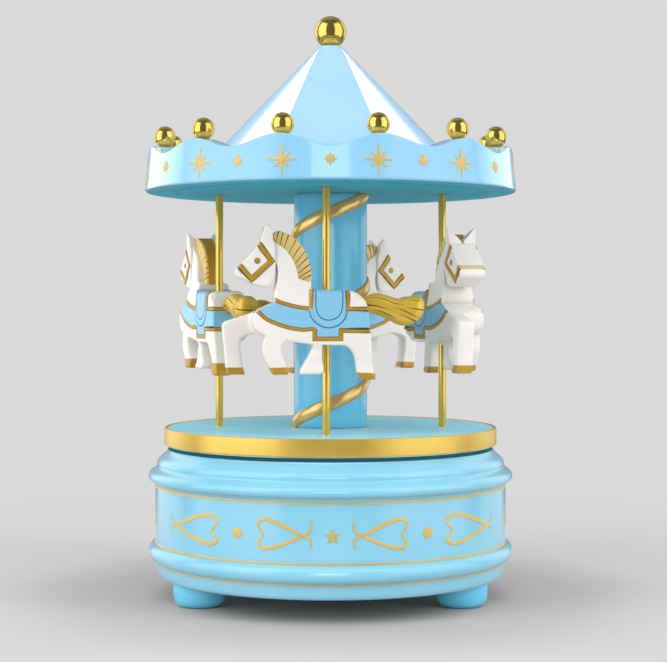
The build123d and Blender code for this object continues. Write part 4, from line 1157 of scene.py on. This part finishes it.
# the mane's edge faces take the darker gold: painted shade
vm, fm_, mm_ = relief(MANE_OUT, HATCH, w_mane, r_const(0.4), None, grid=0.6, wall=lambda u, z, m: MANE_EDGE_SHADE, strip=0.45)
PIECES["mane"] = (vm, fm_, [MANE if k == 0 else k for k in mm_])


def T12(x, y):
    return (x * 0.7135 + 720.5, y * 0.7135 + 550.9)


tail_pts = [(760, 205), (815, 184), (885, 160), (960, 157), (1045, 178), (1120, 205), (1200, 221), (1270, 211), (1335, 190),
            (1400, 184), (1458, 203), (1487, 250), (1493, 330), (1478, 405), (1440, 462), (1380, 510), (1305, 540), (1240, 546),
            (1175, 530), (1100, 492), (1020, 451), (940, 418), (870, 402), (815, 400), (765, 392)]
TAIL = smooth_path(sheet([T12(*p) for p in tail_pts], 3.0), 0.4, True)
TL = []
for pts, hw in (([(790, 300), (880, 305), (985, 332), (1060, 356)], [0.2, 0.16, 0.1, 0.03]),
                ([(1270, 328), (1340, 340), (1410, 350), (1500, 362)], [0.03, 0.1, 0.15, 0.19]),
                ([(1180, 405), (1260, 438), (1330, 470), (1420, 512)], [0.03, 0.1, 0.15, 0.19]),
                ([(830, 215), (930, 212), (1030, 240), (1130, 280), (1230, 292)], [0.03, 0.09, 0.12, 0.1, 0.03]),
                ([(860, 352), (960, 372), (1060, 415), (1150, 462)], [0.03, 0.1, 0.12, 0.03]),
                ([(1290, 250), (1370, 240), (1440, 262)], [0.03, 0.1, 0.04]),
                ([(1120, 330), (1200, 352), (1290, 392), (1370, 432), (1440, 452)], [0.03, 0.09, 0.11, 0.1, 0.03])):
    q = smooth_path([U(*T12(*p), 3.0) for p in pts], 0.4)
    wv = np.interp(np.linspace(0, 1, len(q)), np.linspace(0, 1, len(hw)), hw)
    TL.append((stroke(q, list(wv)), MLINE, -0.34))


def w_tail(V):
    u = V[:, 0]
    return 3.0 + 0.4 * sstep(u, -18.0, -25.0)


def r_tail(V):
    return 2.85 + 0.4 * sstep(V[:, 0], -18.0, -25.0)


vt, ft, mt = relief(TAIL, TL, w_tail, r_tail, None, grid=0.6)
# the tail's tip curls a little outwards
vt = [(x, y + 0.9 * max(0.0, (-x - 19.0) / 9.0) ** 2, z) for x, y, z in vt]
PIECES["tail"] = (vt, ft, [TAILC if k == 0 else k for k in mt])

YAW = {"front": 187.0, "left": 113.5, "rear": 29.0, "right": -70.0}
NUDGE = {"front": (0.0, 0.0), "left": (0.0, 0.0), "rear": (-0.8, -1.0), "right": (-1.6, 0.0)}
for name, yaw in YAW.items():
    cx, cy = POLE_AT[name]
    ca, sa = math.cos(math.radians(yaw)), math.sin(math.radians(yaw))
    nx, nz = NUDGE[name]
    for part in PIECES:
        pv, pf, pm = VARIANT.get((name, part), PIECES[part])
        verts = [(cx + nx + x * ca - y * sa, cy + x * sa + y * ca, z + nz) for x, y, z in pv]
        make("horse_%s_%s" % (name, part), verts, pf, H_MATS, "carousel", ("horse_" + name,),
             face_mats=pm, sharp=34)

# -------------------------------------------------------------------- canopy
F0, F1 = mm_box("canopy_fascia")
FLOW = F0[2]
SCN, MID, AMP = 12, 133.05, 1.55
OUT_PROF = [(55.6, FLOW), (56.0, FLOW + 0.1), (56.2, FLOW + 0.35), (56.2, FLOW + 0.8), (56.1, 123.8), (55.95, 125.2),
            (55.8, 127.0), (55.6, 129.0), (55.4, 131.0), (55.25, 133.3), (55.15, 134.8)]


def r_out(z):
    return float(np.interp(z, [p[1] for p in OUT_PROF], [p[0] for p in OUT_PROF]))


def fascia_mesh():
    segs = 720
    verts, faces = [], []
    fine = [FLOW + 0.95 + k * 0.6 for k in range(1, 40)]
    for i in range(segs):
        t = 2 * math.pi * i / segs
        top = MID - AMP * math.cos(SCN * t)
        prof = []
        for r, z in OUT_PROF[:4]:
            prof.append((r, z))
        zlist = np.linspace(FLOW + 1.3, top - 0.38, 14)
        for z in zlist:
            prof.append((r_out(z), z))
        ro, ri = r_out(top - 0.3), 48.0
        for k in range(1, 6):
            a = math.pi / 2 * k / 5
            prof.append((ro - 0.35 * (1 - math.cos(a)), top - 0.35 + 0.35 * math.sin(a)))
        prof.append(((ro + ri) / 2, top + 0.06))
        for k in range(0, 5):
            a = math.pi / 2 * (1 - k / 4)
            prof.append((ri + 0.5 * (1 - math.cos(a)), top - 0.5 + 0.5 * math.sin(a)))
        prof += [(ri, (top + 126.2) / 2), (ri, 126.35), (ri - 0.12, 126.2), (44.75, 126.2), (44.6, 126.05), (44.6, 124.3), (48.0, 124.25),
                 (48.0, FLOW)]
        k = len(prof)
        for r, z in prof:
            verts.append((r * math.sin(t), -r * math.cos(t), z))
    # the fascia's underside takes the darker blue: painted shade
    under = []
    for i in range(segs):
        a0, b0 = i * k, ((i + 1) % segs) * k
        for j in range(k):
            j2 = (j + 1) % k
            faces.append([a0 + j, b0 + j, b0 + j2, a0 + j2])
            under.append(1 if j >= k - 2 else 0)
    return verts, faces, under


v, f, under = fascia_mesh()
make("canopy_fascia_scalloped", v, f, [M_CANOPY, M_UNDER], "carousel", ("canopy_fascia",), face_mats=under, sharp=40)

# ceiling with its step and the pole sockets: each socket's dark blue is painted shade, the shadow of the hole the pole
# enters
L0, L1 = mm_box("canopy_ceiling")
CE = L0[2]
ceil_prof = fillet([(0.0, CE), (44.9, CE, 0.3), (45.1, FLOW + 0.02, 0.1), (47.97, FLOW + 0.02), (47.97, 124.2), (41.5, 124.2), (41.3, 125.7, 0.2),
                    (37.9, 125.7, 0.2), (37.7, 124.2), (0.0, 124.2)], 4)
lathe("canopy_ceiling_disc", ceil_prof, M_CEIL, "carousel", ("canopy_ceiling",), segs=256, closed=False, sharp=30)
sock = []
for name, (cx, cy) in POLE_AT.items():
    sock.append(lathe_arrays([(1.16, CE + 0.3), (1.16, CE - 0.02), (1.32, CE - 0.1), (1.52, CE - 0.1), (1.66, CE - 0.02), (1.66, CE + 0.3)], 48, (cx, cy)))
v, f = join_arrays(sock)
make("ceiling_pole_sockets", v, f, M_LINE, "carousel", sharp=30)

# stars of the fascia
def ray_star(lengths, wide, tip, notch):
    """Tapered bars from one centre."""
    out = []
    n = len(lengths)
    for i, L in enumerate(lengths):
        a = math.radians(90 + 360.0 * i / n)
        for side in (-1, 1):
            out.append((L * math.cos(a) - side * tip / 2 * math.sin(a), L * math.sin(a) + side * tip / 2 * math.cos(a)))
        a += math.pi / n
        out.append((notch * math.cos(a), notch * math.sin(a)))
    return out


STAR_AT = [(0.0, False, 1.0), (13.7, True, 1.0), (27.3, False, 1.0), (41.0, True, 1.12), (58.0, False, 1.25), (80.0, True, 1.0)]
stars = []
spots = []
for deg, big, stretch in STAR_AT:
    for q in {deg, -deg, 180.0 - deg, deg - 180.0}:
        q = (q + 180.0) % 360.0 - 180.0
        if all(abs(q - t[0]) > 0.5 and abs(abs(q - t[0]) - 360.0) > 0.5 for t in spots):
            spots.append((q, big, stretch))
for deg, big, stretch in sorted(spots):
    if big:
        out = ray_star([4.3, 3.0, 4.0, 3.0, 4.3, 3.0, 4.0, 3.0], 0.95, 0.42, 1.12)
    else:
        out = ray_star([1.85, 1.5, 1.75, 1.5, 1.85, 1.5, 1.75, 1.5], 0.8, 0.36, 0.92)

    def place(s, t, h, ang=math.radians(deg), st=stretch):
        r = r_out(127.3 + t) + h
        a = ang + s * st / 55.8
        return (r * math.sin(a), -r * math.cos(a), 127.3 + t)
    dense = []
    for i in range(len(out)):
        a, b = np.array(out[i]), np.array(out[(i + 1) % len(out)])
        kk = max(1, int(math.ceil(np.linalg.norm(b - a) / 0.8)))
        for q in range(kk):
            dense.append(tuple(a + (b - a) * q / kk))
    stars.append(flat_shape(dense, place, 0.09, 0.07))
v, f = join_arrays(stars)
make("fascia_gold_stars", v, f, M_PRINT, "carousel", sharp=35)

# roof cone with a slight raised lip at its foot and a seat for the finial
K0, K1 = mm_box("roof_cone")
RTOP = 3.5


def roof_r(z):
    return 43.95 - 0.9596 * (z - 124.2)


roof_prof = [(41.55, 124.2), (43.6, 124.2), (43.93, 124.35)] + [(roof_r(z), z) for z in np.linspace(124.6, 166.0, 40)] + \
            [(3.55, 166.3), (3.3, 166.42), (2.2, 166.42), (1.0, 166.1), (0.0, 166.0)]
lathe("roof_cone_shell", roof_prof, M_ROOF, "carousel", ("roof_cone",), segs=256, closed=False, sharp=30)

# gold balls
BR, BZ = 3.2, 137.45
balls = []
for k in range(12):
    cx, cy = polar(50.9, 15.0 + 30.0 * k)
    prof = [(0.0, BZ + BR)]
    for j in range(1, 44):
        a = math.pi * j / 46
        prof.append((BR * math.sin(a), BZ + BR * math.cos(a)))
    prof += [(0.62, BZ - BR * 0.985), (0.8, BZ - BR - 0.12), (0.8, BZ - BR - 3.3), (0.0, BZ - BR - 3.3)]
    balls.append(lathe_arrays(prof, 72, (cx, cy), closed=False))
    ring = fillet([(0.9, 134.2), (1.75, 134.3), (1.65, 134.62, 0.12), (1.2, 134.72)], 2)
v, f = join_arrays(balls)
make("rim_gold_balls", v, f, M_BALL, "carousel", ("rim_balls",), sharp=40)

FZ, FR = 170.8, 4.85
prof = [(0.0, FZ + FR)]
for j in range(1, 58):
    a = math.pi * j / 60
    prof.append((FR * math.sin(a), FZ + FR * math.cos(a)))
prof += [(1.45, FZ - FR * 0.97), (1.5, FZ - FR - 0.3), (1.5, 162.5), (0.0, 162.5)]
lathe("finial_gold_ball", prof, M_BALL, "carousel", ("finial_ball",), segs=128, closed=False, sharp=40)

# ------------------------------------------------- finishes of the CAD pieces
SLOT_MATS = {"screw_steel": M_STEEL, "bed_zinc": M_ZINC, "spring_steel": M_SPRING, "comb_steel": M_COMB, "brass_wheel": M_BRASS,
             "nylon": M_NYLON, "fan_plastic": M_FAN, "plate_plastic": M_PLATE, "body_blue": M_BODY, "gold_plated": M_BALL,
             "pole_gold": M_POLE, "horse_white": M_HORSE}
slot_of = {s["node"]: s["material_slot"] for s in frame["record"]["subparts"]}
for n, ob in NODES.items():
    if n in REPLACED:
        continue
    ob.data.materials.clear()
    ob.data.materials.append(SLOT_MATS[slot_of[n]])
    for p in ob.data.polygons:
        p.material_index = 0

# ------------------------------------------------------- floor, light, camera
def floor():
    bm = bmesh.new()
    bmesh.ops.create_circle(bm, cap_ends=True, radius=3.0, segments=96)
    me = bpy.data.meshes.new("studio_floor")
    bm.to_mesh(me)
    bm.free()
    ob = bpy.data.objects.new("studio_floor", me)
    bpy.context.scene.collection.objects.link(ob)
    m = Nodes("pale_floor")
    nz = m.noise(9.0, 4.0, 0.5)
    f = m.remap(nz, "Fac", 0.3, 0.7, 0.0, 1.0)
    # painted shadow: the floor is darker in a ring round the base, and slightly warm there to offset the blue bounce
    # light (painted light)
    near = m.mix((f, "Result"), lin(196, 193, 191), lin(194, 191, 189))
    far = m.mix((f, "Result"), lin(212, 211, 211), lin(210, 209, 209))
    away = m.add("ShaderNodeVectorMath", operation="LENGTH")
    m.link(m.co, "Object", away, "Vector")
    # painted light: right under the base the floor is lighter, lifting the contact shadow
    deep = m.mix((f, "Result"), lin(205, 202, 200), lin(203, 200, 198))
    foot = m.remap(away, "Value", 0.045, 0.075, 0.0, 1.0)
    near = m.mix((foot, "Result"), (deep, m.mix_out(deep)), (near, m.mix_out(near)))
    # the painted shadow ring fades out between 6 and 11.2 cm from the centre
    shadow_ring_fade = m.remap(away, "Value", 0.06, 0.112, 0.0, 1.0)
    shadow_ring_fade.interpolation_type = "SMOOTHSTEP"
    col = m.mix((shadow_ring_fade, "Result"), (near, m.mix_out(near)), (far, m.mix_out(far)))
    m.link(col, m.mix_out(col), m.bsdf, "Base Color")
    m.set(Roughness=0.6, Specular_IOR_Level=0.15)
    tr = m.add("ShaderNodeBsdfTransparent")
    mixs = m.add("ShaderNodeMixShader")
    sep = m.add("ShaderNodeVectorMath", operation="LENGTH")
    m.link(m.co, "Object", sep, "Vector")
    fade = m.remap(sep, "Value", 0.12, 0.3, 0.0, 1.0)
    fade.interpolation_type = "SMOOTHSTEP"
    geo = m.add("ShaderNodeNewGeometry")
    gone = m.math("MAXIMUM", (fade, "Result"), (geo, "Backfacing"))   # nothing hides the piece from underneath
    m.link(gone, "Value", mixs, "Fac")
    m.link(m.bsdf, "BSDF", mixs, 1)
    m.link(tr, "BSDF", mixs, 2)
    m.link(mixs, "Shader", m.out, "Surface")
    me.materials.append(m.mat)
    return ob


floor()

world = bpy.data.worlds.new("studio")
bpy.context.scene.world = world
world.use_nodes = True
wn = world.node_tree
wn.nodes.clear()
wo = wn.nodes.new("ShaderNodeOutputWorld")


def wadd(kind, **props):
    n = wn.nodes.new(kind)
    for k, v in props.items():
        setattr(n, k, v)
    return n


def wmath(op, a, b=None):
    n = wadd("ShaderNodeMath", operation=op)
    for i, v in enumerate((a, b)):
        if v is None:
            continue
        if isinstance(v, float):
            n.inputs[i].default_value = v
        else:
            wn.links.new(v, n.inputs[i])
    return n.outputs[0]


def wstep(v, lo, hi, a=0.0, b=1.0):
    n = wadd("ShaderNodeMapRange", interpolation_type="SMOOTHSTEP")
    for key, val in (("From Min", lo), ("From Max", hi), ("To Min", a), ("To Max", b)):
        n.inputs[key].default_value = val
    wn.links.new(v, n.inputs["Value"])
    return n.outputs["Result"]


lp = wadd("ShaderNodeLightPath")
tc = wadd("ShaderNodeTexCoord")
sp = wadd("ShaderNodeSeparateXYZ")
wn.links.new(tc.outputs["Generated"], sp.inputs["Vector"])
azim = wmath("MULTIPLY", wmath("ABSOLUTE", wmath("ARCTAN2", sp.outputs["X"], wmath("MULTIPLY", sp.outputs["Y"], -1.0))), 57.29578)
elev = wmath("MULTIPLY", wmath("ARCSINE", sp.outputs["Z"]), 57.29578)
panel = wmath("MULTIPLY", wmath("MULTIPLY", wstep(azim, 26.0, 40.0), wstep(azim, 90.0, 104.0, 1.0, 0.0)),
              wmath("MULTIPLY", wstep(elev, -32.0, -20.0), wstep(elev, 46.0, 62.0, 1.0, 0.0)))
edge = wmath("MULTIPLY", wmath("MULTIPLY", wstep(azim, 108.0, 118.0), wstep(azim, 146.0, 158.0, 1.0, 0.0)),
             wmath("MULTIPLY", wstep(elev, -16.0, -4.0), wstep(elev, 34.0, 48.0, 1.0, 0.0)))
room = wmath("ADD", wstep(azim, 100.0, 140.0, 0.16, 0.34), wmath("MULTIPLY", edge, 0.85))
right = wstep(sp.outputs["X"], -0.2, 0.2, 1.0, 0.78)
shown = wmath("MULTIPLY", wmath("ADD", room, wmath("MULTIPLY", panel, 1.45)), right)
grey = wadd("ShaderNodeCombineXYZ")
for i in range(3):
    wn.links.new(shown, grey.inputs[i])
bg_soft = wadd("ShaderNodeBackground")
bg_soft.inputs["Color"].default_value = (1.0, 1.0, 1.0, 1.0)
bg_soft.inputs["Strength"].default_value = 0.56
bg_gloss = wadd("ShaderNodeBackground")
wn.links.new(grey.outputs["Vector"], bg_gloss.inputs["Color"])
bg_cam = wadd("ShaderNodeBackground")
bg_cam.inputs["Color"].default_value = lin(217, 217, 217)
mix_a = wadd("ShaderNodeMixShader")
mix_b = wadd("ShaderNodeMixShader")
wn.links.new(lp.outputs["Is Glossy Ray"], mix_a.inputs["Fac"])
wn.links.new(bg_soft.outputs["Background"], mix_a.inputs[1])
wn.links.new(bg_gloss.outputs["Background"], mix_a.inputs[2])
wn.links.new(lp.outputs["Is Camera Ray"], mix_b.inputs["Fac"])
wn.links.new(mix_a.outputs["Shader"], mix_b.inputs[1])
wn.links.new(bg_cam.outputs["Background"], mix_b.inputs[2])
wn.links.new(mix_b.outputs["Shader"], wo.inputs["Surface"])


def area(name, loc, target, size, power, color=(1, 1, 1), size_y=None, spread=None):
    d = bpy.data.lights.new(name, "AREA")
    d.shape = "RECTANGLE" if size_y else "SQUARE"
    d.size = size
    if size_y:
        d.size_y = size_y
    d.energy = power
    d.color = color
    if spread:
        d.spread = math.radians(spread)
    o = bpy.data.objects.new(name, d)
    o.location = loc
    o.rotation_euler = (Vector(target) - Vector(loc)).to_track_quat("-Z", "Y").to_euler()
    bpy.context.scene.collection.objects.link(o)
    return o


for label, loc, size, power, tall, seen in (("softbox_left", (-0.62, -0.42, 0.34), 0.34, 2.9, 0.75, False),
                                            ("softbox_right", (0.66, -0.36, 0.34), 0.30, 2.6, 0.75, False),
                                            ("softbox_top", (0.0, -0.15, 0.85), 0.8, 1.8, 0.6, False),
                                            ("rim_left", (-0.70, 0.33, 0.22), 0.25, 1.6, 0.6, False),
                                            ("rim_right", (0.70, 0.33, 0.22), 0.25, 1.6, 0.6, False)):
    lamp = area(label, loc, (0, 0, 0.09), size, power, size_y=tall)
    lamp.visible_glossy = seen

# two strip boxes that only the blue lacquer catches: the long soft highlights along its mouldings
lacquer = bpy.data.collections.new("lacquer_receivers")
for ob in bpy.data.objects:
    if ob.type == "MESH" and ob.name in ("base_drum_turned", "canopy_fascia_scalloped", "roof_cone_shell", "centre_column_tube",
                                         "foot_left_turned", "foot_right_turned", "foot_rear_turned"):
        lacquer.objects.link(ob)
for label, loc, size, power, tall in (("strip_front", (0.0, -1.15, 0.22), 0.46, 2.3, 0.5), ("strip_high", (0.0, -0.62, 0.95), 1.3, 2.2, 0.11)):
    lamp = area(label, loc, (0, 0, 0.09), size, power, size_y=tall)
    lamp.light_linking.receiver_collection = lacquer

# two more behind the object's shoulders, for the pale ends of the fascia
ends = bpy.data.collections.new("fascia_receivers")
ends.objects.link(bpy.data.objects["canopy_fascia_scalloped"])
for label, x, power in (("strip_left", -0.74, 2.1), ("strip_right", 0.74, 1.3)):
    lamp = area(label, (x, 0.52, 0.15), (0, 0, 0.12), 0.8, power, size_y=0.5)
    lamp.light_linking.receiver_collection = ends

cam = bpy.data.cameras.new("camera")
cam.sensor_width = 36.0
cam.lens = 36.0 * 1650.0 / 667.0
cam.shift_x = 3.0 / 667.0
cam.shift_y = -25.0 / 667.0
cam.clip_start = 0.01
co = bpy.data.objects.new("camera", cam)
co.location = (0.0, -0.50325, 0.0873)
co.rotation_euler = (math.radians(90), 0, 0)
bpy.context.scene.collection.objects.link(co)
bpy.context.scene.camera = co
bpy.context.scene.view_settings.view_transform = "Standard"
bpy.context.scene.view_settings.look = "None"
